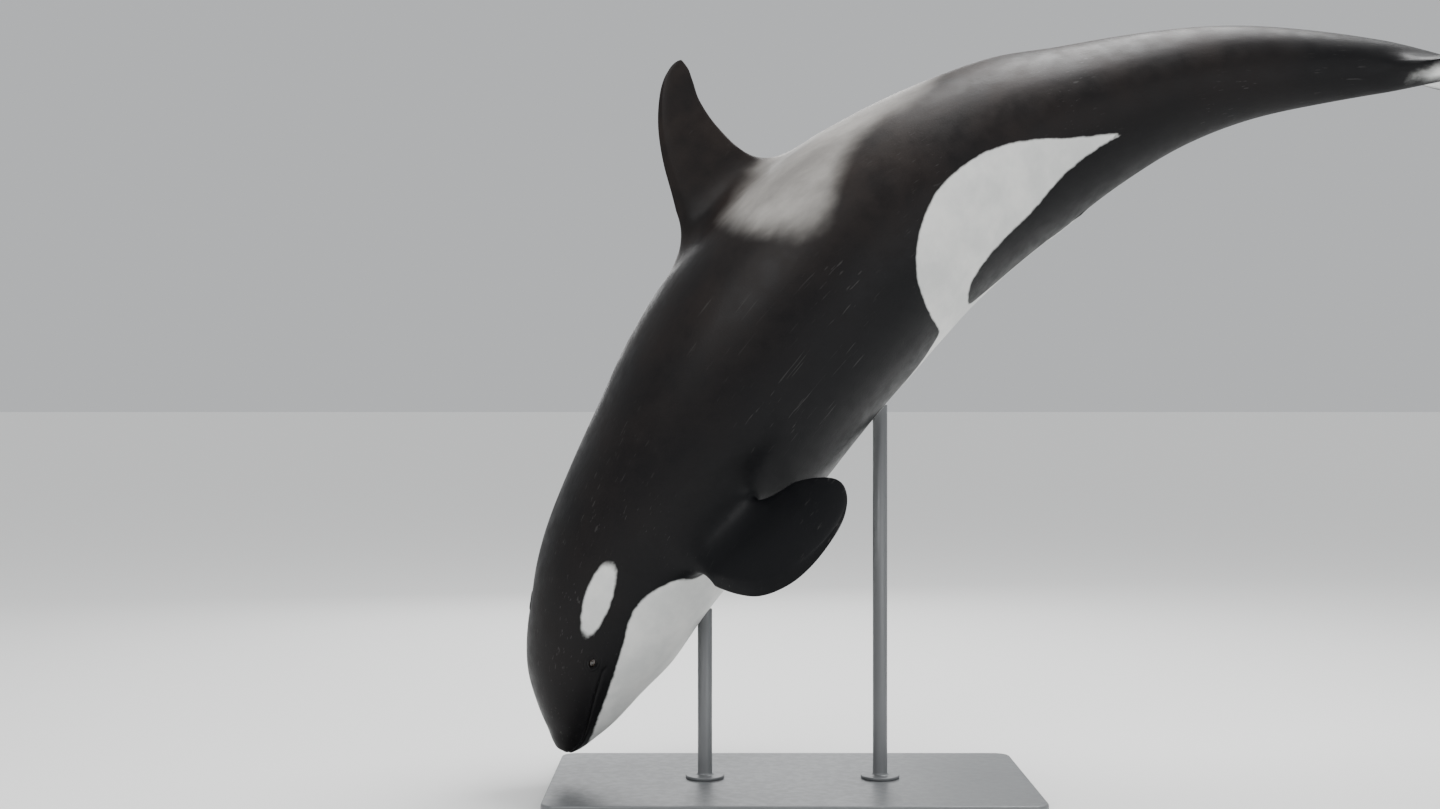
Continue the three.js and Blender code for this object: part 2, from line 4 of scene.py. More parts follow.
import bmesh
import bpy
import numpy as np
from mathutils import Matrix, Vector

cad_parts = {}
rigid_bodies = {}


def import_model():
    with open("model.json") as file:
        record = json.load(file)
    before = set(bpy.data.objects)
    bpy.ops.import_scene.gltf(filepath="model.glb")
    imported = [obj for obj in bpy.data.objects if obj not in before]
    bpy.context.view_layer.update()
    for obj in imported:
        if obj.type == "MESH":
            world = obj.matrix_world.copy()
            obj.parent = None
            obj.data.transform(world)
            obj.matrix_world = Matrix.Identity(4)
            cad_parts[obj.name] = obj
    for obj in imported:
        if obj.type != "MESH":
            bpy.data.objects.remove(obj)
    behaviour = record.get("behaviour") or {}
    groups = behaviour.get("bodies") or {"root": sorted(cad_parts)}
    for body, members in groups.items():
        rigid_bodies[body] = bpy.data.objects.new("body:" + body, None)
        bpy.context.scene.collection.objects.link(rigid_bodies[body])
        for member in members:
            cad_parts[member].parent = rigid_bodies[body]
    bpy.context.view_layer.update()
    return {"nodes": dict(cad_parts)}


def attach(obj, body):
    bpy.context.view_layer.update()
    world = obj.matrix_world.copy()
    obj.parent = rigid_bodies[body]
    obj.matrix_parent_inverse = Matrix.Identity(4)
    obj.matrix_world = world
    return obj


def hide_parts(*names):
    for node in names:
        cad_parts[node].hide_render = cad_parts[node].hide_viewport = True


# A killer whale diving head first, life size, held over a flat base by two rods.
# Metres, +Z up, +X from the snout to the tail; the whale's left side faces -Y.

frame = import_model()
print("frame loaded:", len(frame["nodes"]), "nodes")

tiny = 1e-12        # keeps a division off zero
small = 1e-6        # least place or half width that a ratio is taken at
farAway = 1e9       # more than any distance here
tableScale = 1e4    # long tables are in ten-thousandths of the body length


# A curve through (x, y) points that never overshoots them: cubic pieces whose slope
# at each point is the harmonic mean of the slopes on its two sides.
def smoothCurve(points):
    xs, ys = np.array(points, float).T
    slopes = np.diff(ys) / np.diff(xs)
    before, after = slopes[:-1], slopes[1:]
    same = before * after > 0
    inner = np.where(same, 2 * before * after / np.where(same, before + after, 1), 0)
    tangents = np.concatenate([slopes[:1], inner, slopes[-1:]])

    def at(x):
        x = np.clip(x, xs[0], xs[-1])
        i = np.clip(np.searchsorted(xs, x, side="right") - 1, 0, len(xs) - 2)
        width = xs[i + 1] - xs[i]
        t = (x - xs[i]) / width
        return (
            (2 * t**3 - 3 * t**2 + 1) * ys[i]
            + (t**3 - 2 * t**2 + t) * width * tangents[i]
            + (3 * t**2 - 2 * t**3) * ys[i + 1]
            + (t**3 - t**2) * width * tangents[i + 1]
        )

    return at


# Eases from 0 at low to 1 at high: 3 t squared minus 2 t cubed.
def ease(x, low, high):
    t = np.clip((x - low) / (high - low), 0, 1)
    return t * t * (3 - 2 * t)


# A bell of height 1: e to the minus square of distance over width.
def bell(distance, width):
    return np.exp(-((distance / width) ** 2))


# Faces of a closed skin. Vertex 0 is the first pole, then come the rows of equal loops,
# one after another, and then the last pole.
def closedFaces(rows, columns):
    grid = np.arange(rows * columns).reshape(rows, columns) + 1
    beside = np.roll(grid, -1, 1)
    quads = np.stack([grid[:-1], grid[1:], beside[1:], beside[:-1]], -1).reshape(-1, 4)
    first = np.stack([np.zeros(columns, int), grid[0], beside[0]], -1)
    last = np.stack([np.full(columns, rows * columns + 1), beside[-1], grid[-1]], -1)
    return quads.tolist() + first.tolist() + last.tolist()


# A new mesh object in the scene, from points and faces.
def newObject(name, points, faces):
    mesh = bpy.data.meshes.new(name)
    mesh.from_pydata(np.asarray(points, float).tolist(), [], faces)
    mesh.update()
    made = bpy.data.objects.new(name, mesh)
    bpy.context.scene.collection.objects.link(made)
    return made


# Opens a mesh, makes the change and writes the mesh back.
def editMesh(mesh, change):
    bm = bmesh.new()
    bm.from_mesh(mesh)
    bm.verts.ensure_lookup_table()
    bm.edges.ensure_lookup_table()
    change(bm)
    bm.to_mesh(mesh)
    bm.free()


# Faces outward: if the volume enclosed is negative, every face is turned round.
def faceOutward(made):
    def turnRound(bm):
        if bm.calc_volume(signed=True) < 0:
            bmesh.ops.reverse_faces(bm, faces=bm.faces)

    editMesh(made.data, turnRound)


# A closed piece from its first pole, its rows of points and its last pole.
def closedObject(name, firstPole, rows, lastPole):
    count, columns = rows.shape[:2]
    points = np.concatenate([[firstPole], rows.reshape(-1, 3), [lastPole]])
    made = newObject(name, points, closedFaces(count, columns))
    faceOutward(made)
    return made


# One property of all items of a mesh as one array, in rows where it has several values.
def readAll(items, key, width=1, kind=np.float32):
    values = np.empty(len(items) * width, kind)
    items.foreach_get(key, values)
    return values if width == 1 else values.reshape(-1, width)


def meshPoints(made):
    return readAll(made.data.vertices, "co", 3).astype(float)


def meshNormals(made):
    return readAll(made.data.vertices, "normal", 3)


def setPoints(made, points):
    made.data.vertices.foreach_set("co", points.astype(np.float32).ravel())
    made.data.update()


# Vertex values kept on the mesh under a name: one number or three for each vertex.
def setValues(made, name, values):
    kind, key = ("FLOAT", "value") if values.ndim == 1 else ("FLOAT_VECTOR", "vector")
    attribute = made.data.attributes.new(name, kind, "POINT")
    attribute.data.foreach_set(key, values.astype(np.float32).ravel())


def meshValues(made, name):
    return readAll(made.data.attributes[name].data, "value").astype(float)


# Draws a closed piece in: every vertex moves against its normal by the amount.
def drawIn(made, amount):
    setPoints(made, meshPoints(made) - meshNormals(made) * amount)


# Places along the body run from 0 at the snout to 1 at the notch between the flukes.
spineShape = {
    "bodyLength": 5.6,
    "nose": (-0.979, 0.163),
    "headings": [(0, 80), (0.1, 69.5), (0.2, 60.5), (0.3, 55), (0.4, 48), (0.5, 38),
                 (0.6, 28), (0.7, 18), (0.85, 3), (1, -3)],
    "steps": 800, "trials": 120, "lastTrial": 1.03, "mends": 10,
}
length = spineShape["bodyLength"]  # metres; most sizes below are parts of it
headingAt = smoothCurve(spineShape["headings"])
stepCount = spineShape["steps"]
stepAngles = np.radians(headingAt((np.arange(stepCount) + 0.5) / stepCount))
stepLength = length / stepCount
spinePlaces = np.arange(stepCount + 1) / stepCount
noseX, noseZ = spineShape["nose"]
spineX = noseX + np.concatenate([[0], np.cumsum(np.cos(stepAngles))]) * stepLength
spineZ = noseZ + np.concatenate([[0], np.cumsum(np.sin(stepAngles))]) * stepLength


# The spine's point, tailward and dorsal directions at each place, as x and z: the walk
# of short steps along the heading, straight past both ends.
def spineFrames(places):
    inside = np.clip(places, 0, 1)
    angle = np.radians(headingAt(inside))
    tailward = np.stack([np.cos(angle), np.sin(angle)], -1)
    dorsal = np.stack([-np.sin(angle), np.cos(angle)], -1)
    origin = np.stack([np.interp(inside, spinePlaces, spineX),
                       np.interp(inside, spinePlaces, spineZ)], -1)
    origin = origin + tailward * ((places - inside) * length)[..., None]
    return origin, tailward, dorsal


# The same at one place, as three points in space.
def spineFrame(place):
    return [np.array([row[0, 0], 0, row[0, 1]]) for row in spineFrames(np.array([place]))]


# Bends the straight whale: its point at length x, side y and height z goes to the
# spine's point for x, plus z along the dorsal direction there.
def bend(x, y, z):
    origin, _, dorsal = spineFrames(x / length)
    flat = origin + dorsal * z[..., None]
    return np.stack([flat[..., 0], y, flat[..., 1]], -1)


# The other way: the place on the spine whose square line runs through each point,
# found from the nearest of many places and then mended step by step.
def straighten(points):
    flat = points[:, [0, 2]]
    trials = np.linspace(0, spineShape["lastTrial"], spineShape["trials"])
    origin, _, _ = spineFrames(trials)
    gaps = ((flat[:, None, :] - origin[None]) ** 2).sum(-1)
    place = trials[gaps.argmin(1)]
    for _ in range(spineShape["mends"]):
        origin, tailward, _ = spineFrames(place)
        place = place + ((flat - origin) * tailward).sum(-1) / length
    origin, _, dorsal = spineFrames(place)
    return place, points[:, 1], ((flat - origin) * dorsal).sum(-1)


# Stations: place, back over the spine, belly under it, half width, keel sharpness.
bodyShape = {
    "stations": [
        (0, 0, 0, 0, 1), (20, 92, 62, 85, 1), (60, 130, 112, 125, 1), (150, 190, 190, 190, 1),
        (300, 301, 303, 300, 1), (600, 481, 455, 440, 1), (1000, 603, 625, 575, 1),
        (1500, 713, 718, 720, 1), (2000, 775, 812, 830, 1), (2500, 838, 920, 915, 1),
        (3000, 920, 985, 970, 1), (3630, 984, 998, 1000, 1), (4100, 992, 996, 990, 1),
        (4600, 965, 962, 940, 1.03), (5150, 885, 898, 855, 1.08), (5770, 785, 820, 715, 1.15),
        (6230, 708, 750, 610, 1.2), (6740, 572, 635, 485, 1.25), (7400, 468, 475, 350, 1.3),
        (8000, 400, 365, 250, 1.35), (8600, 308, 280, 175, 1.35), (9000, 240, 220, 140, 1.3),
        (9300, 186, 172, 118, 1.25), (9550, 122, 112, 90, 1.2), (9850, 42, 40, 45, 1),
    ],
    "inset": 0.002,
    "headRows": 118, "trunkRows": 205, "neck": 0.14, "end": 0.985, "tailTip": 0.003,
    "columnsToMouth": 50, "columnsBelowMouth": 30, "gathering": 1.3,
    "evenFrom": 0.085, "evenTo": 0.2,
}
stationTable = np.array(bodyShape["stations"]) / ([tableScale] * 4 + [1])


# A station curve runs over the square root of the place, because the snout is blunt.
def stationCurve(column):
    inner = smoothCurve(list(zip(np.sqrt(stationTable[:, 0]), stationTable[:, column])))
    return lambda places: inner(np.sqrt(np.maximum(places, 0)))


backAt = stationCurve(1)
bellyAt = stationCurve(2)
halfWidthAt = stationCurve(3)
keelAt = stationCurve(4)


# The plain body, straight and without relief: y is the half width times the sine of the
# angle raised to the keel sharpness, z is back or belly height times its cosine.
def plainBody(places, angles):
    cosine, sine = np.cos(angles), np.sin(angles)
    height = np.where(cosine >= 0, backAt(places), bellyAt(places)) * length
    width = halfWidthAt(places) * length
    y = width * np.sign(sine) * np.abs(sine) ** keelAt(places)
    return np.stack([places * length, y, height * cosine], -1)


# Outward direction of the plain body: the cross product of a small step along it
# (taken in the square root of the place) and a small step round it.
def bodyNormal(places, angles):
    nudge = 1e-3
    root = np.sqrt(places)
    ahead = plainBody((root + nudge) ** 2, angles)
    behind = plainBody(np.maximum(root - nudge, 0) ** 2, angles)
    around = plainBody(places, angles + nudge) - plainBody(places, angles - nudge)
    normal = np.cross(ahead - behind, around)
    size = np.linalg.norm(normal, axis=-1, keepdims=True)
    forward = np.array([-1.0, 0, 0])
    return np.where(size > tiny, normal / np.maximum(size, tiny), forward)


mouthShape = {
    "drop": 0.0125, "dropLength": 0.009, "leastCosine": -0.9, "corner": 0.078, "fade": 0.012,
    "grooveDepth": 0.0065, "grooveWidth": 0.0034,
    "lipHeight": 0.0022, "lipOffset": 0.013, "lipWidth": 0.008,
    "foldDepth": 0.0035, "foldSlope": 0.25, "foldOffset": 0.004, "foldWidth": 0.006,
    "foldBegin": 0.004, "foldLength": 0.018,
}


# Angle of the mouth line from the top of the back: its cosine is its height, which
# sinks like one less a dying exponential behind the snout, over the belly's depth.
def mouthAngle(places):
    m = mouthShape
    height = -m["drop"] * (1 - np.exp(-places / m["dropLength"]))
    depth = bellyAt(np.maximum(places, small))
    return np.arccos(np.clip(height / depth, m["leastCosine"], 0))


# Lips: a sharp groove along the mouth line with a low swelling on both sides, which
# ends in a short fold turned down at the corner.
def mouthRelief(places, angles):
    m = mouthShape
    radius = 0.5 * length * (bellyAt(places) + halfWidthAt(places))
    distance = (np.abs(angles) - mouthAngle(places)) * radius
    along = 1 - ease(places, m["corner"] - m["fade"], m["corner"])
    groove = -m["grooveDepth"] * bell(distance, m["grooveWidth"])
    lips = m["lipHeight"] * bell(np.abs(distance) - m["lipOffset"], m["lipWidth"])
    pastCorner = (places - m["corner"]) * length
    fromFold = distance - m["foldSlope"] * pastCorner - m["foldOffset"]
    fold = -m["foldDepth"] * bell(fromFold, m["foldWidth"])
    fold = fold * bell(pastCorner + m["foldBegin"], m["foldLength"])
    return along * (groove + lips) + fold


eyeShape = {
    "place": 0.081, "below": 0.003, "radius": 0.027, "proud": 0.007, "stretch": 1.06,
    "halfLength": 0.023, "halfHeight": 0.0125, "lidThickness": 0.0022, "lidSoftness": 0.0022,
    "mound": 0.0045, "moundWidth": 0.042, "moundFade": (0.045, 0.07),
    "sink": 0.02, "sinkEdge": (-0.0018, 0.0008), "sinkReach": 0.03,
    "rim": 0.0014, "rimOffset": 0.0028, "rimWidth": 0.0022,
    "crease": 0.0016, "creaseOffset": 0.01, "creaseWidth": 0.0022,
    "outerCrease": 0.00096, "outerCreaseOffset": 0.02, "outerCreaseWidth": 0.003,
}
eyeShape["angle"] = float(np.arccos(-eyeShape["below"] / bellyAt(eyeShape["place"])))


# Distances on the skin from the middle of the eye, along the body and down it.
def eyeOffsets(places, angles):
    e = eyeShape
    radius = 0.5 * length * float(bellyAt(e["place"]) + halfWidthAt(e["place"]))
    along = (places - e["place"]) * length * e["stretch"]
    return along, (np.abs(angles) - e["angle"]) * radius


# Lids: the skin swells over the eyeball, then sinks inside a lens-shaped opening whose
# half height falls with the square of the distance along it, with a rim and two creases.
def eyeRelief(places, angles):
    e = eyeShape
    along, down = eyeOffsets(places, angles)
    reach = np.hypot(along, down)
    ball = e["proud"] - e["radius"] + np.sqrt(np.maximum(e["radius"] ** 2 - reach**2, 0))
    swell = np.log1p(np.exp((ball + e["lidThickness"]) / e["lidSoftness"])) * e["lidSoftness"]
    swell = swell + e["mound"] * bell(reach, e["moundWidth"])
    edge = np.abs(down) - e["halfHeight"] * (1 - (along / e["halfLength"]) ** 2)
    edge = edge / np.sqrt(1 + (2 * e["halfHeight"] * along / e["halfLength"] ** 2) ** 2)
    rim = e["rim"] * bell(edge - e["rimOffset"], e["rimWidth"])
    crease = -e["crease"] * bell(edge - e["creaseOffset"], e["creaseWidth"])
    crease = crease - e["outerCrease"] * bell(edge - e["outerCreaseOffset"], e["outerCreaseWidth"])
    sunk = e["sink"] * (1 - ease(edge, *e["sinkEdge"])) * (reach < e["sinkReach"])
    return (1 - ease(reach, *e["moundFade"])) * (swell + rim + crease - sunk)


blowholeShape = {
    "place": 0.105, "radius": 0.05, "halfAngle": 62, "depth": 0.014, "width": 0.0048,
    "rimHeight": 0.004, "rimOffset": 0.013, "rimWidth": 0.009, "leftward": 0.008,
    "dishDepth": 0.004, "dishWidth": 0.075, "reach": 0.25,
}


# Blowhole: a crescent slot, hollow side forward, in a shallow dish with a soft rim.
# The distance to its arc is the radius less the distance to the arc's centre.
def blowholeRelief(places, angles):
    b = blowholeShape
    side = np.sin(angles) * halfWidthAt(places) * length + b["leftward"]
    along = (places - b["place"]) * length + b["radius"]
    turn = np.arctan2(side, along)
    limit = math.radians(b["halfAngle"])
    beyond = np.maximum(np.abs(turn) - limit, 0) * b["radius"]
    distance = np.hypot(np.hypot(along, side) - b["radius"], beyond)
    onTop = (np.cos(angles) > 0) * (np.abs(along - b["radius"]) < b["reach"])
    slot = -b["depth"] * bell(distance, b["width"])
    rim = b["rimHeight"] * bell(distance - b["rimOffset"], b["rimWidth"])
    dish = -b["dishDepth"] * bell(np.hypot(along - b["radius"], side), b["dishWidth"])
    return onTop * (slot + rim + dish)


undersideShape = {
    "navel": 0.455, "navelLength": 0.04, "navelDepth": 0.006, "navelWidth": 0.011,
    "slitFrom": (0.596, 0.606), "slitTo": (0.636, 0.646), "slitDepth": 0.012, "slitWidth": 0.008,
    "lipHeight": 0.004, "lipOffset": 0.02, "lipWidth": 0.012,
    "teatPlace": 0.634, "teatSide": 0.042, "teatLength": 0.045, "teatDepth": 0.005,
    "teatWidth": 0.006,
}


# Creases along the underside: navel, the long slit with soft lips, and a small slit
# on each side of it. Each is a bell across times a bell or a window along.
def undersideRelief(places, angles):
    u = undersideShape
    side = np.sin(angles) * halfWidthAt(places) * length
    under = np.cos(angles) < 0
    navelAlong = bell((places - u["navel"]) * length, u["navelLength"])
    navel = -u["navelDepth"] * bell(side, u["navelWidth"]) * navelAlong
    window = ease(places, *u["slitFrom"]) * (1 - ease(places, *u["slitTo"]))
    slit = -u["slitDepth"] * bell(side, u["slitWidth"])
    lips = u["lipHeight"] * bell(np.abs(side) - u["lipOffset"], u["lipWidth"])
    teatAlong = bell((places - u["teatPlace"]) * length, u["teatLength"])
    teat = -u["teatDepth"] * bell(np.abs(side) - u["teatSide"], u["teatWidth"]) * teatAlong
    return under * (navel + window * (slit + lips) + teat)


fleshShape = {
    "height": 0.0009, "begin": (0.06, 0.2),
    "long": 19, "sway": 2, "round": 3, "twist": 7,
    "shortHeight": 0.6, "short": 43, "shortSway": 4, "shortStart": 1.3,
}


# Slow unevenness of flesh over muscle: a few long waves, about a millimetre high.
def fleshRelief(places, angles):
    f = fleshShape
    waves = np.sin(f["long"] * places + f["sway"] * np.cos(angles))
    waves = waves * np.cos(f["round"] * angles + f["twist"] * places)
    short = np.sin(f["short"] * places + f["shortSway"] * np.sin(angles) + f["shortStart"])
    return f["height"] * (waves + f["shortHeight"] * short) * ease(places, *f["begin"])


# The plain body with every relief added along its outward direction, then bent.
def bodyPoints(places, angles):
    reliefs = [mouthRelief, eyeRelief, blowholeRelief, undersideRelief, fleshRelief]
    relief = sum(one(places, angles) for one in reliefs) - bodyShape["inset"]
    straight = plainBody(places, angles)
    straight = straight + bodyNormal(places, angles) * relief[..., None]
    return bend(straight[..., 0], straight[..., 1], straight[..., 2])


# Angles down one side for each row. Their spacing shrinks towards the mouth line as
# a power of the distance to it; behind the head they spread out evenly.
def sideAngles(places):
    b = bodyShape
    upper, lower = b["columnsToMouth"], b["columnsBelowMouth"]
    toLine = np.linspace(0, 1, upper + 1)
    fromLine = np.linspace(0, 1, lower + 1)[1:]
    line = mouthAngle(places)[:, None]
    above = line * (1 - (1 - toLine) ** b["gathering"])
    below = line + (np.pi - line) * fromLine ** b["gathering"]
    gathered = np.concatenate([above, below], 1)
    even = np.linspace(0, np.pi, upper + lower + 1)[None]
    spread = ease(places, b["evenFrom"], b["evenTo"])[:, None]
    return gathered + (even - gathered) * spread


# Windows of places and of degrees round the section where the faces are cut finer.
fineWindows = [
    {"places": (0.0725, 0.0895), "angles": (80, 106), "cuts": 5},
    {"places": (0.089, 0.121), "angles": (0, 17), "cuts": 3},
    {"places": (0.595, 0.648), "angles": (158, 180), "cuts": 2},
]


# Cuts the edges of the faces whose middle, the mean of the corners, lies in a window.
# New vertices carry values between those of the old.
def cutFiner(made, window):
    mesh = made.data
    corners = readAll(mesh.loops, "vertex_index", kind=np.int32)
    edges = readAll(mesh.loops, "edge_index", kind=np.int32)
    sizes = readAll(mesh.polygons, "loop_total", kind=np.int32)
    faceOf = np.repeat(np.arange(len(sizes)), sizes)
    place, cosine, sine = (
        np.bincount(faceOf, meshValues(made, name)[corners]) / sizes
        for name in ("place", "cosine", "sine"))
    angle = np.degrees(np.abs(np.arctan2(sine, cosine)))
    low, high = window["places"]
    first, last = window["angles"]
    chosen = (place > low) & (place < high) & (angle >= first) & (angle <= last)
    cut = np.unique(edges[chosen[faceOf]])
    editMesh(mesh, lambda bm: bmesh.ops.subdivide_edges(
        bm, edges=[bm.edges[i] for i in cut.tolist()], cuts=window["cuts"], use_grid_fill=True))


# Body without fins: loops of side angles at places that are even in their square root
# on the head and even on the trunk. After the cuts every vertex goes to its point.
def makeBody():
    b = bodyShape
    headRoots = np.linspace(0, math.sqrt(b["neck"]), b["headRows"] + 1)[1:]
    trunk = np.linspace(b["neck"], b["end"], b["trunkRows"] + 1)[1:]
    rowPlaces = np.concatenate([headRoots**2, trunk])
    side = sideAngles(rowPlaces)
    angles = np.concatenate([side, -side[:, -2:0:-1]], 1)
    places = np.repeat(rowPlaces[:, None], angles.shape[1], 1)
    allPlaces = np.concatenate([[0], places.ravel(), [b["end"] + b["tailTip"]]])
    allAngles = np.concatenate([mouthAngle(np.zeros(1)), angles.ravel(), [0]])
    body = newObject("skin", np.zeros((len(allPlaces), 3)), closedFaces(*angles.shape))
    setValues(body, "place", allPlaces)
    setValues(body, "cosine", np.cos(allAngles))
    setValues(body, "sine", np.sin(allAngles))
    for window in fineWindows:
        cutFiner(body, window)

    places = meshValues(body, "place")
    angles = np.arctan2(meshValues(body, "sine"), meshValues(body, "cosine"))
    points = bodyPoints(places, angles)
    tip = places > b["end"] + 0.5 * b["tailTip"]
    points[tip] = bend(places[tip] * length, np.zeros(tip.sum()), np.zeros(tip.sum()))
    setPoints(body, points)
    faceOutward(body)
    return body


foilShape = {"points": 40, "tailRound": 0.04, "evenness": 0.5, "frontRise": 8}


# Half thickness over chord of a rounded foil, t from front (0) to rear (1): the usual
# series for a symmetric foil, a square root and four powers.
def foilHalf(t):
    return 5 * (0.2969 * np.sqrt(t) - 0.126 * t - 0.3516 * t**2 + 0.2843 * t**3 - 0.1036 * t**4)


# Chord fractions and half thicknesses round a foil loop, over the top and back below.
# The fractions are a mean of even steps and a cosine's, and the rear edge is rounded.
def foilLoop(chord, thickness, edge):
    steps = np.linspace(0, 1, foilShape["points"] + 1)
    closed = 0.5 - 0.5 * np.cos(np.pi * steps)
    t = closed + (steps - closed) * foilShape["evenness"]
    tailRound = foilShape["tailRound"]
    intoTail = np.maximum(t - (1 - tailRound), 0) / tailRound
    rounding = np.sqrt(np.maximum(1 - intoTail**2, 0)) * np.minimum(1, foilShape["frontRise"] * t)
    half = foilHalf(t) * rounding[None] ** 0.5 * (thickness * chord)[:, None]
    half = half + edge * rounding[None]
    fractions = np.concatenate([t, t[-2:0:-1]])
    heights = np.concatenate([half, -half[:, -2:0:-1]], 1)
    return np.repeat(fractions[None], len(chord), 0), heights


dorsalFinShape = {
    "place": 0.415,
    "front": [
        (700, -1050), (930, -695), (975, -560), (1045, -454), (1126, -368), (1323, -229),
        (1580, -71), (1787, 91), (1945, 267), (2028, 405), (2058, 545),
    ],
    "rear": [
        (700, 700), (930, 640), (993, 569), (1141, 462), (1292, 427), (1476, 438), (1708, 490),
        (1856, 567), (1955, 614), (2027, 625), (2058, 545),
    ],
    "rows": 64, "thickness": 0.125, "edge": 0.0045,
    "skinHeight": 0.095, "flare": 0.35, "flareHeight": 0.035, "flareMost": 1.5,
}


# An edge that runs over the square root of the drop below the tip, so that the front
# and the rear edge meet there in a round end.
def edgeBelow(high, points):
    inner = smoothCurve([(math.sqrt(high - h), a) for h, a in points[::-1]])
    return lambda heights: inner(np.sqrt(np.maximum(high - heights, 0)))


# Dorsal fin: rows at rising heights over the spine, each a foil from the front edge
# to the rear edge, thicker near the back where it flares into the body.
def makeDorsalFin():
    d = dorsalFinShape
    origin, tailward, dorsal = spineFrame(d["place"])
    front, rear = np.array([d["front"], d["rear"]]) / tableScale
    low, high = front[0, 0], front[-1, 0]
    frontAt, rearAt = edgeBelow(high, front), edgeBelow(high, rear)
    h = low + (high - low) * np.sin(np.linspace(0, 0.5 * np.pi, d["rows"] + 1)[:-1])
    start, end = frontAt(h), rearAt(h)
    nearBody = np.minimum(np.exp((d["skinHeight"] - h) / d["flareHeight"]), d["flareMost"])
    thickness = d["thickness"] * (1 + d["flare"] * nearBody)
    fractions, sides = foilLoop((end - start) * length, thickness, d["edge"])

    along = (start[:, None] + (end - start)[:, None] * fractions) * length
    rows = origin + tailward * along[..., None] + dorsal * (h * length)[:, None, None]
    rows[..., 1] = sides
    foot = origin + tailward * (0.5 * (start[0] + end[0]) * length) + dorsal * (low * length)
    top = origin + tailward * (frontAt(high) * length) + dorsal * (high * length)
    return closedObject("dorsalFin", foot, rows, top)


flipperShape = {
    "place": 0.2073, "below": 0.0354, "side": 0.06,
    "span": (0.483, -0.59, 0.647), "chord": (0.867, 0.22, -0.447),
    "length": 0.1375, "inset": 0.12,
    "chordRoot": 0.044, "chordGrow": 0.135, "chordShrink": -0.078, "tipPower": 4.5,
    "sweep": [(0, -0.0048), (0.25, -0.0099), (0.5, -0.0107), (0.75, -0.005), (1, 0.0082)],
    "rows": 60, "thickness": 0.16, "tipThinning": 0.4, "shoulder": 0.6,
    "shoulderLength": 0.15, "edge": 0.005,
}


# Flipper: foils set along the span. The chord is a parabola of the span times the root
# of one minus a power of it, and the root is thickened by a dying exponential.
def makeFlipper(name, side):
    f = flipperShape
    origin, tailward, dorsal = spineFrame(f["place"])
    outward = np.array([0, side, 0.0])

    def direction(v):
        made = tailward * v[0] + dorsal * v[1] + outward * v[2]
        return made / np.linalg.norm(made)

    span, chordWay = direction(f["span"]), direction(f["chord"])
    normal = np.cross(span, chordWay)
    normal = normal / np.linalg.norm(normal)
    root = origin - dorsal * f["below"] * length + outward * f["side"] * length
    u = np.sin(np.linspace(0, 0.5 * np.pi, f["rows"] + 1)[:-1])
    t = -f["inset"] + (1 + f["inset"]) * u
    inner = np.maximum(t, 0)
    chord = f["chordRoot"] + f["chordGrow"] * inner + f["chordShrink"] * inner**2
    chord = chord * np.sqrt(1 - inner ** f["tipPower"])
    middle = smoothCurve(f["sweep"])(inner)
    thickness = 1 - f["tipThinning"] * inner + f["shoulder"] * np.exp(-inner / f["shoulderLength"])
    fractions, heights = foilLoop(chord * length, f["thickness"] * thickness, f["edge"])
    across = (middle[:, None] + (fractions - 0.5) * chord[:, None]) * length
    rows = root + span * (t * f["length"] * length)[:, None, None]
    rows = rows + chordWay * across[..., None] + normal * heights[..., None]
    foot = root - span * f["inset"] * f["length"] * length
    tip = root + span * f["length"] * length + chordWay * f["sweep"][-1][1] * length
    return closedObject(name, foot, rows, tip)


flukeShape = {
    "reach": 0.13,
    "front": [(0, 0.912), (0.0125, 0.922), (0.03, 0.938), (0.06, 0.958), (0.09, 0.98),
              (0.115, 1.0), (0.13, 1.0216)],
    "rear": [(0, 1.0), (0.01, 1.008), (0.03, 1.014), (0.06, 1.012), (0.09, 1.01),
             (0.115, 1.016), (0.13, 1.0216)],
    "rows": 120, "thickness": 0.15, "tipRise": 0.008, "edge": 0.0045,
}
flukeFrontAt = smoothCurve(flukeShape["front"])
flukeRearAt = smoothCurve(flukeShape["rear"])


# Flukes: foils from one tip to the other, each from the front edge to the rear edge
# at its distance from the midline; the tips rise with the square of that distance.
def makeFlukes():
    f = flukeShape
    v = np.sin((np.arange(1, f["rows"]) / f["rows"] - 0.5) * np.pi)
    away = np.abs(v) * f["reach"]
    start, end = flukeFrontAt(away), flukeRearAt(away)
    fractions, heights = foilLoop((end - start) * length,
                                  np.full(len(v), f["thickness"]), f["edge"])
    x = (start[:, None] + (end - start)[:, None] * fractions) * length
    y = np.repeat((v * f["reach"] * length)[:, None], x.shape[1], 1)
    rows = bend(x, y, f["tipRise"] * length * v[:, None] ** 2 + heights)
    tipX = np.full(2, float(flukeFrontAt(f["reach"])) * length)
    tipY = np.array([-1, 1]) * f["reach"] * length
    tips = bend(tipX, tipY, np.full(2, f["tipRise"] * length))
    return closedObject("flukes", tips[0], rows, tips[1])


# How each join is rounded: a pass moves vertices by "share" within "full" of the seam,
# and by less out to "reach". Those nearer than "merge" become one within "mergeReach".
joinShape = {
    "dorsalFin": {"reach": 0.16, "full": 0.03, "passes": 90, "merge": 0.004, "mergeReach": 0.03},
    "flipper": {"reach": 0.22, "full": 0.05, "passes": 240, "merge": 0.005, "mergeReach": 0.08},
    "flukes": {"reach": 0.15, "full": 0.04, "passes": 90, "merge": 0, "mergeReach": 0.02},
    "share": 0.5,
}


# One number for each point, the same for the same point and no other: its three
# coordinates from a corner 8 m away, in hundredths of a millimetre, side by side.
def pointKeys(points):
    whole = np.round((points + 8) * 1e5).astype(np.int64)
    return (whole[:, 0] << 42) + (whole[:, 1] << 21) + whole[:, 2]


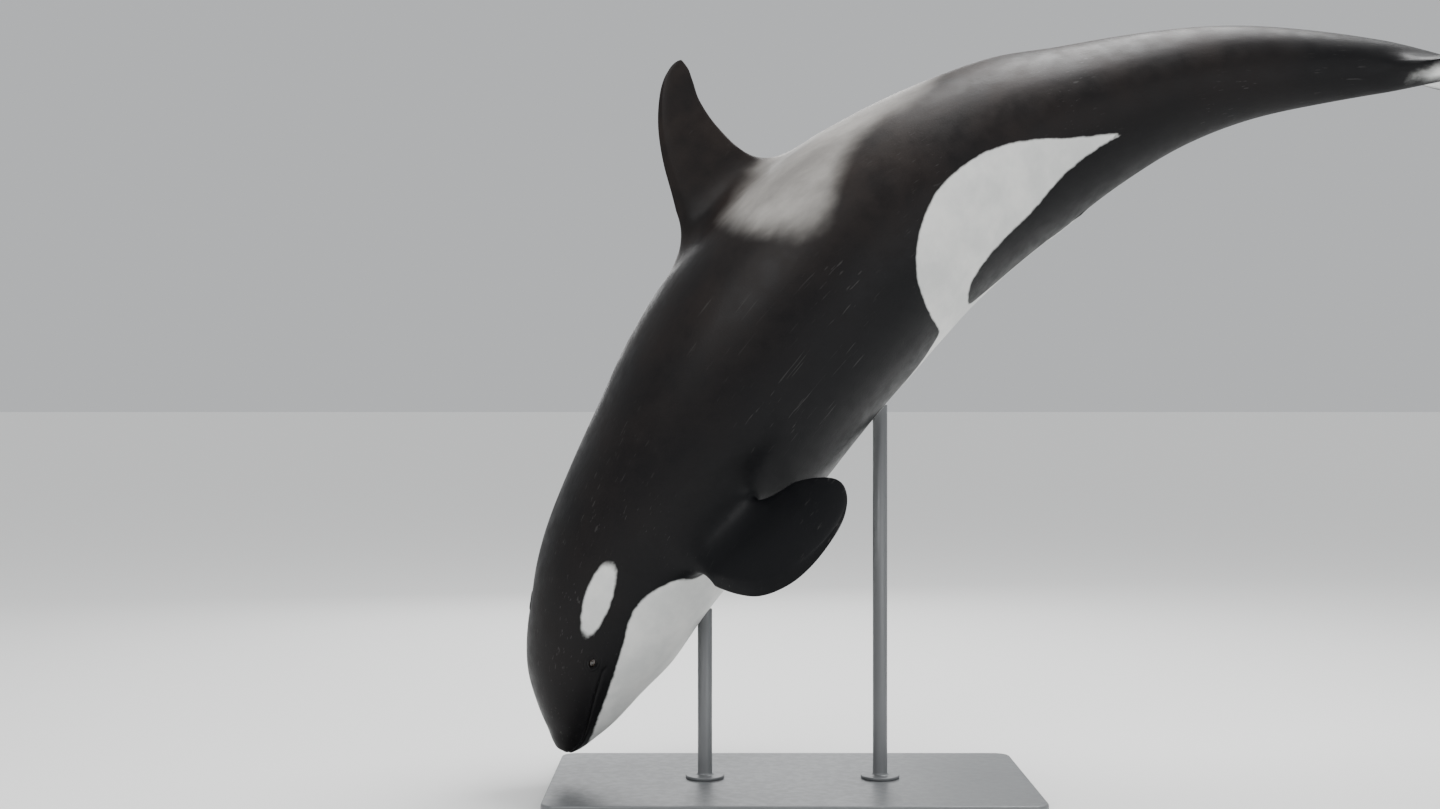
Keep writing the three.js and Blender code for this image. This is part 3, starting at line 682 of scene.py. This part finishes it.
# Least distance from each point to a set of points, a batch of the set at a time.
def leastDistance(points, others):
    least = np.full(len(points), farAway)
    batchSize = 40
    for batch in np.array_split(others, max(len(others) // batchSize, 1)):
        gaps = ((points[:, None, :] - batch[None]) ** 2).sum(-1)
        least = np.minimum(least, gaps.min(1))
    return np.sqrt(least)


# Each round moves a vertex by its share of the way to the mean of its neighbours.
def smoothPoints(made, share, passes):
    points = meshPoints(made)
    a, b = readAll(made.data.edges, "vertices", 2, np.int32).T
    near = (share[a] > 0) | (share[b] > 0)
    ends = np.concatenate([a[near], b[near]])
    others = np.concatenate([b[near], a[near]])
    count = np.maximum(np.bincount(ends, minlength=len(points)), 1)[:, None]
    for _ in range(passes):
        total = [np.bincount(ends, points[others, k], len(points)) for k in range(3)]
        mean = np.stack(total, -1) / count
        points = np.where(share[:, None] > 0, points + (mean - points) * share[:, None], points)
    setPoints(made, points)


# Joins a fin to the body and rounds the crease. The vertices that neither had before
# are those on the seam.
def joinFin(body, fin, settings):
    drawIn(fin, bodyShape["inset"])
    known = np.concatenate([pointKeys(meshPoints(body)), pointKeys(meshPoints(fin))])
    join = body.modifiers.new("join", "BOOLEAN")
    join.operation = "UNION"
    join.solver = "MANIFOLD"
    join.object = fin
    graph = bpy.context.evaluated_depsgraph_get()
    joined = bpy.data.meshes.new_from_object(body.evaluated_get(graph))
    body.modifiers.clear()
    body.data = joined
    bpy.data.objects.remove(fin)

    points = meshPoints(body)
    seam = points[~np.isin(pointKeys(points), known)]
    close = np.flatnonzero(leastDistance(points, seam) < settings["mergeReach"])
    editMesh(joined, lambda bm: bmesh.ops.remove_doubles(
        bm, verts=[bm.verts[i] for i in close.tolist()], dist=settings["merge"]))

    distance = leastDistance(meshPoints(body), seam)
    share = joinShape["share"] * (1 - ease(distance, settings["full"], settings["reach"]))
    smoothPoints(body, share, settings["passes"])
    print("joined with", len(seam), "seam vertices")


ballShape = {"rows": 40, "columns": 56, "cornea": 0.0016, "corneaWidth": 0.42}


# Eyeball: a sphere set under the skin of its side, with the cornea as a low bell over
# its front. Each vertex keeps its place from the ball's middle for the pattern.
def makeEyeball(name, side):
    e, s = eyeShape, ballShape
    place = np.array([e["place"]])
    angle = np.array([side * e["angle"]])
    outward = bodyNormal(place, angle)
    centre = plainBody(place, angle) + outward * (e["proud"] - e["radius"] - bodyShape["inset"])
    along = np.array([1.0, 0, 0]) - outward[0] * outward[0, 0]
    along = along / np.linalg.norm(along)
    across = np.cross(outward[0], along)
    tilt = np.linspace(0, np.pi, s["rows"] + 2)[1:-1]
    turn = np.linspace(0, 2 * np.pi, s["columns"], endpoint=False)
    reach = e["radius"] + s["cornea"] * bell(tilt, s["corneaWidth"])
    ring = (reach * np.sin(tilt))[:, None]
    out = (reach * np.cos(tilt))[:, None] * np.ones_like(turn)
    local = np.stack([ring * np.cos(turn), ring * np.sin(turn), out], -1).reshape(-1, 3)
    poles = np.array([[0, 0, e["radius"] + s["cornea"]], [0, 0, -e["radius"]]])
    local = np.concatenate([poles[:1], local, poles[1:]])
    straight = centre + local @ np.stack([along, across, outward[0]])
    points = bend(straight[:, 0], straight[:, 1], straight[:, 2])
    ball = newObject(name, points, closedFaces(s["rows"], s["columns"]))
    faceOutward(ball)
    setValues(ball, "eyePlace", local / e["radius"])
    return ball


baseShape = {
    "length": 2.1, "depth": 1.15, "height": 0.05, "corner": 0.07, "round": 0.008,
    "cornerSteps": 14, "roundSteps": 5, "flatRing": 0.03,
}


# Outline of a plate with rounded corners, drawn in by an amount all round: quarter
# circles about the four corner centres.
def plateOutline(inset):
    b = baseShape
    quarter = np.linspace(0, 0.5 * np.pi, b["cornerSteps"] + 1)
    turn = (quarter[None] + np.arange(4)[:, None] * 0.5 * np.pi).ravel()
    signs = np.repeat(np.array([[1, 1], [-1, 1], [-1, -1], [1, -1]]), len(quarter), 0)
    middle = signs * (np.array([b["length"], b["depth"]]) * 0.5 - b["corner"])
    return middle + np.stack([np.cos(turn), np.sin(turn)], -1) * (b["corner"] - inset)


# Base plate: its outline drawn in by a quarter circle along the top and lower edges.
def makeBase():
    b = baseShape
    turn = np.linspace(0, 0.5 * np.pi, b["roundSteps"] + 1)
    low = np.stack([1 - np.sin(turn), 1 - np.cos(turn)], -1) * b["round"]
    high = low[::-1] * [1, -1] + [0, b["height"]]
    ring = b["flatRing"]
    profile = np.concatenate([[[ring, 0]], low, high, [[ring, b["height"]]]])
    around = 4 * (b["cornerSteps"] + 1)
    rows = np.stack([np.column_stack([plateOutline(inset), np.full(around, z)])
                     for inset, z in profile])
    return closedObject("standBase", (0, 0, 0), rows, (0, 0, b["height"]))


rodShape = {
    "radius": 0.032, "footRadius": 0.085, "footHeight": 0.014, "front": -0.375, "rear": 0.397,
    "columns": 48, "edge": 0.003, "fillet": 0.012, "filletSteps": 8, "into": 0.03, "gap": 0.0003,
    "bellySteps": 400, "bellyFrom": 0.03, "bellyTo": 0.9,
}


# Rod: a profile of radius and height turned about its axis, from the foot plate over a
# hollow fillet up the shaft, to a little over the belly line of the plain body.
def makeRod(name, x):
    r = rodShape
    places = np.linspace(r["bellyFrom"], r["bellyTo"], r["bellySteps"])
    line = bend(places * length, np.zeros(len(places)), -bellyAt(places) * length)
    top = float(np.interp(x, line[:, 0], line[:, 2])) + r["into"]
    foot = baseShape["height"] + r["gap"]
    plate = foot + r["footHeight"]
    wide, slim, edge = r["footRadius"], r["radius"], r["edge"]
    turn = np.linspace(0, 0.5 * np.pi, r["filletSteps"] + 1)
    fillet = np.column_stack([slim + r["fillet"] * (1 - np.sin(turn)),
                              plate + r["fillet"] * (1 - np.cos(turn))])
    profile = np.concatenate([
        [[wide - edge, foot], [wide, foot + edge], [wide, plate - edge],
         [wide - 0.3 * edge, plate - 0.3 * edge], [wide - edge, plate], [wide - 2 * edge, plate]],
        fillet,
        [[slim, plate + 4 * r["fillet"]], [slim, top - edge], [slim - edge, top]],
    ])
    radii, heights = profile[:, :1], profile[:, 1:]
    turn = np.linspace(0, 2 * np.pi, r["columns"], endpoint=False)
    rows = np.stack([x + radii * np.cos(turn), radii * np.sin(turn),
                     np.repeat(heights, r["columns"], 1)], -1)
    return closedObject(name, (x, 0, foot), rows, (x, 0, top))


# Outlines of the markings from the side: (place, height over the spine), once round.
markings = {
    "throat": [
        (-300, -85), (58, -134), (202, -165), (399, -194), (584, -207), (738, -213), (898, -213),
        (1045, -204), (1169, -184), (1297, -175), (1424, -204), (1539, -260), (1653, -348),
        (1766, -445), (1830, -540), (1850, -640), (1870, -720), (1900, -1300), (-300, -1300),
    ],
    "flank": [
        (4620, -1300), (4640, -990), (4654, -868), (4646, -751), (4669, -627), (4718, -494),
        (4797, -365), (4900, -256), (5025, -163), (5176, -68), (5332, -10), (5521, 22),
        (5752, 28), (5957, -3), (6185, -77), (6357, -148), (6600, -215), (6880, -270),
        (6720, -290), (6480, -330), (6241, -396), (6065, -468), (5862, -540), (5549, -604),
        (5325, -655), (5139, -721), (5031, -805), (5010, -893), (5060, -1300),
    ],
    "saddle": [
        (4050, 850), (4180, 700), (4307, 529), (4423, 375), (4572, 391), (4736, 473), (4890, 594),
        (5107, 667), (5313, 710), (5491, 720), (5850, 800), (5850, 1300), (4550, 1300),
        (4500, 985), (4280, 930),
    ],
    "cornerRounds": 2, "patchCentre": (0.1285, 0.0102), "patchHalfLength": 0.029,
    "patchHalfHeight": 0.01, "patchTilt": 4, "patchTaper": 0.1,
    "bellyHalfWidths": [(0.15, 0.23), (0.18, 0.2), (0.21, 0.165), (0.25, 0.115),
                        (0.29, 0.075), (0.34, 0.055), (0.38, 0.058), (0.43, 0.1),
                        (0.47, 0.18), (0.51, 0.11), (0.55, 0.038), (0.6, 0.022),
                        (0.66, 0.014), (0.695, 0.004), (0.72, -0.03)],
    "bellyPlaces": (0.14, 0.74), "whiteJoin": 0.018, "throatLift": 0.02,
    "saddleLift": 0.025, "saddleLiftSlope": 1.5,
    "flukesFrom": 0.9, "flukeMargin": 0.006, "flukeInner": 0.006, "flukeRounding": 0.035,
    "flukeFrontSlant": 0.6, "outside": -0.2, "outsideFluke": -0.05, "most": 0.2,
}


# Cuts the corners of a closed outline: every round, each edge keeps only its points at
# one and three quarters.
def roundedOutline(outline):
    points = np.array(outline) / tableScale
    for _ in range(markings["cornerRounds"]):
        ahead = np.roll(points, -1, 0)
        points = np.stack([0.75 * points + 0.25 * ahead, 0.25 * points + 0.75 * ahead], 1)
        points = points.reshape(-1, 2)
    return points


# Distance in metres from the outline, positive inside: the least distance to any
# edge, with the sign from how often a level ray crosses the outline.
def insideDistance(places, heights, outline):
    corners = roundedOutline(outline) * length
    x, z = places * length, heights
    least = np.full(len(x), farAway)
    inside = np.zeros(len(x), bool)
    for (ax, az), (bx, bz) in zip(corners, np.roll(corners, -1, 0)):
        ex, ez = bx - ax, bz - az
        t = np.clip(((x - ax) * ex + (z - az) * ez) / (ex * ex + ez * ez), 0, 1)
        least = np.minimum(least, np.hypot(x - ax - t * ex, z - az - t * ez))
        crosses = (az > z) != (bz > z)
        at = ax + ex * (z - az) / (ez if abs(ez) > tiny else tiny)
        inside ^= crosses & (x < at)
    return np.where(inside, least, -least)


# Eye patch: a tilted ellipse, slightly narrower in front. The distance is one less
# the scaled radius, times the half height.
def patchDistance(places, heights):
    m = markings
    dx = (places - m["patchCentre"][0]) * length
    dz = heights - m["patchCentre"][1] * length
    tilt = math.radians(m["patchTilt"])
    u = (dx * math.cos(tilt) + dz * math.sin(tilt)) / (m["patchHalfLength"] * length)
    v = (dz * math.cos(tilt) - dx * math.sin(tilt)) / (m["patchHalfHeight"] * length)
    v = v / (1 + m["patchTaper"] * np.clip(u, -1, 1))
    return (1 - np.sqrt(u**2 + v**2)) * m["patchHalfHeight"] * length


# How far each vertex stands off the plain body, as its scaled radius less one times
# the mean radius: nothing on the trunk, large on the fins.
def standOff(places, sides, heights):
    height = np.where(heights >= 0, backAt(places), bellyAt(places)) * length
    width = halfWidthAt(places) * length
    across = sides / np.maximum(width, small)
    upright = heights / np.maximum(height, small)
    return (np.sqrt(across**2 + upright**2) - 1) * 0.5 * (height + width)


# Fields of the markings for every vertex. The white of throat, flank and belly is their
# soft greatest: the join times the log of the sum of e to each distance over the join.
# White under the flukes is the soft least distance to their edges and the midline.
def paintMarkings(skin):
    m = markings
    places, sides, heights = straighten(meshPoints(skin))
    off = standOff(places, sides, heights)
    _, _, dorsal = spineFrames(places)
    facing = (meshNormals(skin)[:, [0, 2]] * dorsal).sum(-1)

    throat = insideDistance(places, heights, m["throat"])
    throat = np.minimum(throat, m["throatLift"] - off)
    flank = insideDistance(places, heights, m["flank"])
    belly = smoothCurve(m["bellyHalfWidths"])(places) - np.abs(sides)
    begin, end = m["bellyPlaces"]
    belly = np.where((heights < 0) & (places > begin) & (places < end), belly, m["outside"])
    join = m["whiteJoin"]
    white = join * np.log(sum(np.exp(np.clip(d, -1, 1) / join) for d in (throat, flank, belly)))
    saddle = insideDistance(places, heights, m["saddle"])
    saddle = np.minimum(saddle, (m["saddleLift"] - off) * m["saddleLiftSlope"])
    away = np.abs(sides) / length
    front = (places - flukeFrontAt(away)) * length * m["flukeFrontSlant"]
    rear = (flukeRearAt(away) - places) * length
    tip = (flukeShape["reach"] - away) * length
    inner = (away - m["flukeInner"] + m["flukeMargin"]) * length
    sums = sum(np.exp(-d / m["flukeRounding"]) for d in (front, rear, tip, inner))
    fluke = -m["flukeRounding"] * np.log(sums) - m["flukeMargin"] * length
    fluke = np.where((places > m["flukesFrom"]) & (facing < 0), fluke, m["outsideFluke"])

    fields = {"whiteBody": white, "whitePatch": patchDistance(places, heights),
              "greySaddle": saddle, "whiteFluke": fluke}
    for name, values in fields.items():
        setValues(skin, name, np.clip(values, m["outside"], m["most"]))
    setValues(skin, "straightPlace", np.stack([places * length, sides, heights], -1))


# A new material, its node tree and its shader.
def newMaterial(name):
    material = bpy.data.materials.new(name)
    material.use_nodes = True
    return material, material.node_tree, material.node_tree.nodes["Principled BSDF"]


# Fills a node's inputs: a value is set, and an output socket is linked. A key is the
# input's name with _ for each space, or _ and the input's number.
def fill(node, **inputs):
    for key, value in inputs.items():
        socket = node.inputs[int(key[1:]) if key[1:].isdigit() else key.replace("_", " ")]
        if isinstance(value, bpy.types.NodeSocket):
            node.id_data.links.new(value, socket)
        else:
            socket.default_value = value
    return node


# A new node with its settings and inputs. The makers below give back one output, and
# put their node in the tree of the first socket they are given.
def addNode(tree, kind, settings=None, **inputs):
    node = tree.nodes.new("ShaderNode" + kind)
    for key, value in (settings or {}).items():
        setattr(node, key, value)
    return fill(node, **inputs)


def mathNode(operation, a, b):
    return addNode(a.id_data, "Math", {"operation": operation}, _0=a, _1=b).outputs[0]


def times(a, b):
    return mathNode("MULTIPLY", a, b)


def vectorMath(operation, vector, output):
    node = addNode(vector.id_data, "VectorMath", {"operation": operation}, _0=vector)
    return node.outputs[output]


def mixColour(share, a, b):
    return addNode(share.id_data, "Mix", {"data_type": "RGBA"}, _0=share, _6=a, _7=b).outputs[2]


# Noise from 0 to 1. It is set by a scale, a detail and perhaps a roughness.
def noiseOf(vector, scale, detail, roughness=0.5):
    return addNode(vector.id_data, "TexNoise", Vector=vector, Scale=scale, Detail=detail,
                   Roughness=roughness).outputs["Fac"]


# A value eased from one range to another: 3 t squared minus 2 t cubed of its share.
def rangeOf(value, fromLow, fromHigh, toLow=0.0, toHigh=1.0):
    node = addNode(value.id_data, "MapRange", {"interpolation_type": "SMOOTHSTEP"}, Value=value,
                   From_Min=fromLow, From_Max=fromHigh, To_Min=toLow, To_Max=toHigh)
    return node.outputs["Result"]


def attributeOf(tree, name, output="Fac"):
    return addNode(tree, "Attribute", {"attribute_name": name}).outputs[output]


# In the finishes a noise is (scale, detail, roughness), a range is (from low, from high)
# with (to low, to high) behind it where that isn't 0 to 1, and a draw scales the place.
skinFinish = {
    # The brown-black colour is a painted sunlit sheen, not a colour of the skin.
    "black": (0.0038, 0.004, 0.0048, 1), "sunSheenBrown": (0.023, 0.0165, 0.014, 1),
    "white": (0.7, 0.7, 0.68, 1), "offWhite": (0.56, 0.57, 0.56, 1),
    "saddle": (0.19, 0.181, 0.171, 1), "saddlePale": (0.34, 0.325, 0.305, 1),
    "scratch": (0.06, 0.058, 0.056, 1),
    "edge": 0.006, "edgeWander": 0.014, "flukeEdge": 0.03, "flukeWander": 0.07,
    "saddleEdge": 0.075, "saddleWander": 0.17,
    "edgeNoise": (22.0, 4.0), "flukeNoise": (7.0, 5.0, 0.62),
    "smokeDraw": (0.6, 1.0, 1.0), "smokeNoise": (4.5, 5.0, 0.52),
    "cloudNoise": (5.0, 5.0, 0.55), "cloudRange": (0.28, 0.72),
    # These brown ranges place the painted sunlit sheen: high over the spine, along the rear trunk,
    # patched by noise.
    "sunSheenHeight": (-0.35, 0.45), "sunSheenBegin": (1.2, 3.2, 0.35, 1.0),
    "sunSheenEnd": (4.2, 5.1, 1.0, 0.15),
    "sunSheenNoise": (3.5, 6.0, 0.6), "sunSheenRange": (0.25, 0.75, 0.25, 1.0),
    "threadDraw": (3.5, 110.0, 110.0), "threadNoise": (1.0, 3.0), "threadRange": (0.65, 0.7),
    "threadPlaces": (2.3, 2.0), "threadShare": (0.46, 0.66, 0.0, 0.45),
    "paleNoise": (5.0, 5.0, 0.6), "paleRange": (0.3, 0.7),
    "roughNoise": (14.0, 5.0, 0.6), "roughRange": (0.3, 0.7, 0.36, 0.5),
    "grainNoise": (120.0, 6.0, 0.6), "rippleDraw": (6.0, 18.0, 18.0), "rippleNoise": (1.0, 4.0),
    "rippleShare": 1.5, "bump": 0.14, "bumpDepth": 0.004,
    "reflection": 0.13, "coat": 0.025, "coatRoughness": 0.22,
}


# Skin: black with a painted sunlit sheen in brown-black over the upper rear back, a smoky
# saddle and off-white markings. Each marking is a distance moved about by noise and stepped.
# Faint scratches are crests of drawn-out noise.
def makeSkinMaterial():
    f = skinFinish
    material, tree, shader = newMaterial("whaleSkin")
    straight = attributeOf(tree, "straightPlace", "Vector")

    def noise(name, draw=None):
        place = straight
        if draw:
            place = addNode(tree, "Mapping", Vector=straight, Scale=f[draw]).outputs[0]
        return noiseOf(place, *f[name])

    def middled(value):
        return mathNode("SUBTRACT", value, 0.5)

    def mask(name, wander, spread, edge):
        value = mathNode("ADD", attributeOf(tree, name), times(wander, f[spread]))
        return rangeOf(value, -f[edge], f[edge])

    wander = middled(noise("edgeNoise"))
    body = mask("whiteBody", wander, "edgeWander", "edge")
    patch = mask("whitePatch", wander, "edgeWander", "edge")
    fluke = mask("whiteFluke", middled(noise("flukeNoise")), "flukeWander", "flukeEdge")
    white = mathNode("MAXIMUM", mathNode("MAXIMUM", body, patch), fluke)
    smoke = middled(noise("smokeNoise", "smokeDraw"))
    saddle = mask("greySaddle", smoke, "saddleWander", "saddleEdge")

    parts = addNode(tree, "SeparateXYZ", Vector=straight).outputs
    # Painted sunlit sheen: the black turns brown-black on the top of the back along the rear
    # trunk, as if lit from above, patched by noise.
    sunSheen = times(rangeOf(parts["Z"], *f["sunSheenHeight"]), rangeOf(parts["X"], *f["sunSheenBegin"]))
    sunSheen = times(sunSheen, rangeOf(parts["X"], *f["sunSheenEnd"]))
    sunSheen = times(sunSheen, rangeOf(noise("sunSheenNoise"), *f["sunSheenRange"]))
    dark = mixColour(sunSheen, f["black"], f["sunSheenBrown"])
    threads = rangeOf(noise("threadNoise", "threadDraw"), *f["threadRange"])
    threads = times(threads, rangeOf(noise("threadPlaces"), *f["threadShare"]))
    dark = mixColour(threads, dark, f["scratch"])
    cloud = rangeOf(noise("cloudNoise", "smokeDraw"), *f["cloudRange"])
    grey = mixColour(cloud, f["saddle"], f["saddlePale"])
    pale = mixColour(rangeOf(noise("paleNoise"), *f["paleRange"]), f["white"], f["offWhite"])

    ripple = times(noise("rippleNoise", "rippleDraw"), f["rippleShare"])
    bump = addNode(tree, "Bump", Strength=f["bump"], Distance=f["bumpDepth"],
                   Height=mathNode("ADD", noise("grainNoise"), ripple))
    fill(shader, Base_Color=mixColour(white, mixColour(saddle, dark, grey), pale),
         Normal=bump.outputs["Normal"], Roughness=rangeOf(noise("roughNoise"), *f["roughRange"]),
         Specular_IOR_Level=f["reflection"], Coat_Weight=f["coat"],
         Coat_Roughness=f["coatRoughness"])
    return material


eyeFinish = {
    "pupil": (0.002, 0.002, 0.003, 1), "iris": (0.014, 0.008, 0.005, 1),
    "irisPale": (0.032, 0.019, 0.011, 1), "white": (0.022, 0.017, 0.015, 1),
    "pupilLong": 0.24, "pupilTall": 0.17, "pupilEdge": (0.92, 1.08), "irisEdge": (0.56, 0.64),
    "rayNoise": (9.0, 3.0), "rayRange": (0.35, 0.65),
    "roughness": 0.12, "coat": 1.0, "coatRoughness": 0.03,
}


# Eye: an oval pupil, an iris with rays, and a dark brownish white round it, each told
# apart by the distance across the ball's front, in eyeball radii.
def makeEyeMaterial():
    f = eyeFinish
    material, tree, shader = newMaterial("whaleEye")
    parts = addNode(tree, "SeparateXYZ", Vector=attributeOf(tree, "eyePlace", "Vector")).outputs
    flat = addNode(tree, "CombineXYZ", X=parts["X"], Y=parts["Y"]).outputs[0]
    oval = addNode(tree, "CombineXYZ", X=mathNode("DIVIDE", parts["X"], f["pupilLong"]),
                   Y=mathNode("DIVIDE", parts["Y"], f["pupilTall"])).outputs[0]
    reach = vectorMath("LENGTH", flat, "Value")
    ovalReach = vectorMath("LENGTH", oval, "Value")
    rays = noiseOf(vectorMath("NORMALIZE", flat, "Vector"), *f["rayNoise"])
    colour = mixColour(rangeOf(rays, *f["rayRange"]), f["iris"], f["irisPale"])
    colour = mixColour(rangeOf(reach, *f["irisEdge"]), colour, f["white"])
    colour = mixColour(rangeOf(ovalReach, *f["pupilEdge"]), f["pupil"], colour)
    fill(shader, Base_Color=colour, Roughness=f["roughness"], Coat_Weight=f["coat"],
         Coat_Roughness=f["coatRoughness"])
    return material


standFinish = {
    "low": (0.15, 0.155, 0.16, 1), "high": (0.18, 0.185, 0.19, 1), "metallic": 0.35,
    "toneNoise": (3.0, 4.0), "roughNoise": (30.0, 4.0), "roughRange": (0.3, 0.7, 0.36, 0.46),
    "grainNoise": (400.0, 3.0), "bump": 0.05, "bumpDepth": 0.001,
}


# Stand: satin grey paint, a little uneven in tone and gloss.
def makeStandMaterial():
    f = standFinish
    material, tree, shader = newMaterial("standPaint")
    place = addNode(tree, "TexCoord").outputs["Object"]
    bump = addNode(tree, "Bump", Strength=f["bump"], Distance=f["bumpDepth"],
                   Height=noiseOf(place, *f["grainNoise"]))
    fill(shader, Base_Color=mixColour(noiseOf(place, *f["toneNoise"]), f["low"], f["high"]),
         Roughness=rangeOf(noiseOf(place, *f["roughNoise"]), *f["roughRange"]),
         Metallic=f["metallic"], Normal=bump.outputs["Normal"])
    return material


skin = makeBody()
print("body:", len(skin.data.vertices), "vertices")
fins = [(makeDorsalFin(), "dorsalFin"), (makeFlipper("flipperLeft", -1), "flipper"),
        (makeFlipper("flipperRight", 1), "flipper"), (makeFlukes(), "flukes")]
for fin, join in fins:
    joinFin(skin, fin, joinShape[join])
skin.data.calc_loop_triangles()
print("skin:", len(skin.data.vertices), "vertices,", len(skin.data.loop_triangles), "triangles")
paintMarkings(skin)
skin.data.materials.clear()
skin.data.materials.append(makeSkinMaterial())
skin.data.shade_smooth()
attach(skin, "root")
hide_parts("head", "lower_jaw", "chest", "belly", "tail_stock", "fluke_left",
            "fluke_right", "dorsal_fin", "flipper_left", "flipper_right")
print("skin painted")

eyeMaterial = makeEyeMaterial()
standMaterial = makeStandMaterial()
pieces = [
    (makeEyeball("eyeLeft", -1), "eye_left", "eye", eyeMaterial),
    (makeEyeball("eyeRight", 1), "eye_right", "eye", eyeMaterial),
    (makeBase(), "stand_base", "stand", standMaterial),
    (makeRod("standRodFront", rodShape["front"]), "stand_rod_front", "stand", standMaterial),
    (makeRod("standRodRear", rodShape["rear"]), "stand_rod_rear", "stand", standMaterial),
]
for piece, node, slot, material in pieces:
    piece.data.materials.append(material)
    piece.data.shade_smooth()
    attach(piece, "root")
    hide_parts(node)
print("eyes and stand made")

studio = {
    "floorHalf": 400, "floorDrop": 0.001, "floor": (0.8, 0.8, 0.79, 1), "floorRoughness": 0.9,
    "air": (0.86, 0.88, 0.9, 1), "airStrength": 0.66,
    "sun": 1.1, "sunWidth": 70, "sunTurn": (-14, 16, 0),
    "lamps": [  # name, place, what it points at, size and power
        ("topLight", (2.2, 1.2, 8.5), (0.6, 0, 2.4), 4.5, 900),
        ("keyLight", (-3.5, -5.5, 6.5), (0.2, 0, 2.0), 4.5, 260),
        ("fillLight", (4.5, -6.5, 3.0), (0.2, 0, 1.8), 5.0, 120),
        ("backLight", (-1.0, 7.0, 4.5), (0.2, 0, 2.0), 5.0, 200),
    ],
}
cameraSet = {"at": (-0.3087, -8.0, 1.6957), "turn": (90, 0, 0), "lens": 45.35, "sensor": 36.0}

floorCorners = np.array([[-1, -1, 0], [1, -1, 0], [1, 1, 0], [-1, 1, 0]]) * studio["floorHalf"]
floor = newObject("floor", floorCorners - [0, 0, studio["floorDrop"]], [(0, 1, 2, 3)])
floorMaterial, _, floorShader = newMaterial("paleFloor")
fill(floorShader, Base_Color=studio["floor"], Roughness=studio["floorRoughness"])
floor.data.materials.append(floorMaterial)

world = bpy.data.worlds.new("studio")
bpy.context.scene.world = world
world.use_nodes = True
background = world.node_tree.nodes["Background"]
fill(background, Color=studio["air"], Strength=studio["airStrength"])


# Puts a light or a camera in the scene at a point, turned by angles in radians.
def placeInScene(name, data, at, turn):
    holder = bpy.data.objects.new(name, data)
    bpy.context.scene.collection.objects.link(holder)
    holder.location = at
    holder.rotation_euler = turn
    return holder


for name, at, to, size, power in studio["lamps"]:
    light = bpy.data.lights.new(name, "AREA")
    light.shape = "SQUARE"
    light.size = size
    light.energy = power
    aim = Vector(to) - Vector(at)
    placeInScene(name, light, at, aim.to_track_quat("-Z", "Y").to_euler())

sun = bpy.data.lights.new("softSun", "SUN")
sun.energy = studio["sun"]
sun.angle = math.radians(studio["sunWidth"])
placeInScene("softSun", sun, (0, 0, 0), [math.radians(a) for a in studio["sunTurn"]])

camera = bpy.data.cameras.new("camera")
camera.lens = cameraSet["lens"]
camera.sensor_width = cameraSet["sensor"]
camera.sensor_fit = "HORIZONTAL"
bpy.context.scene.camera = placeInScene("camera", camera, cameraSet["at"],
                                        [math.radians(a) for a in cameraSet["turn"]])
print("floor, lights and camera set")
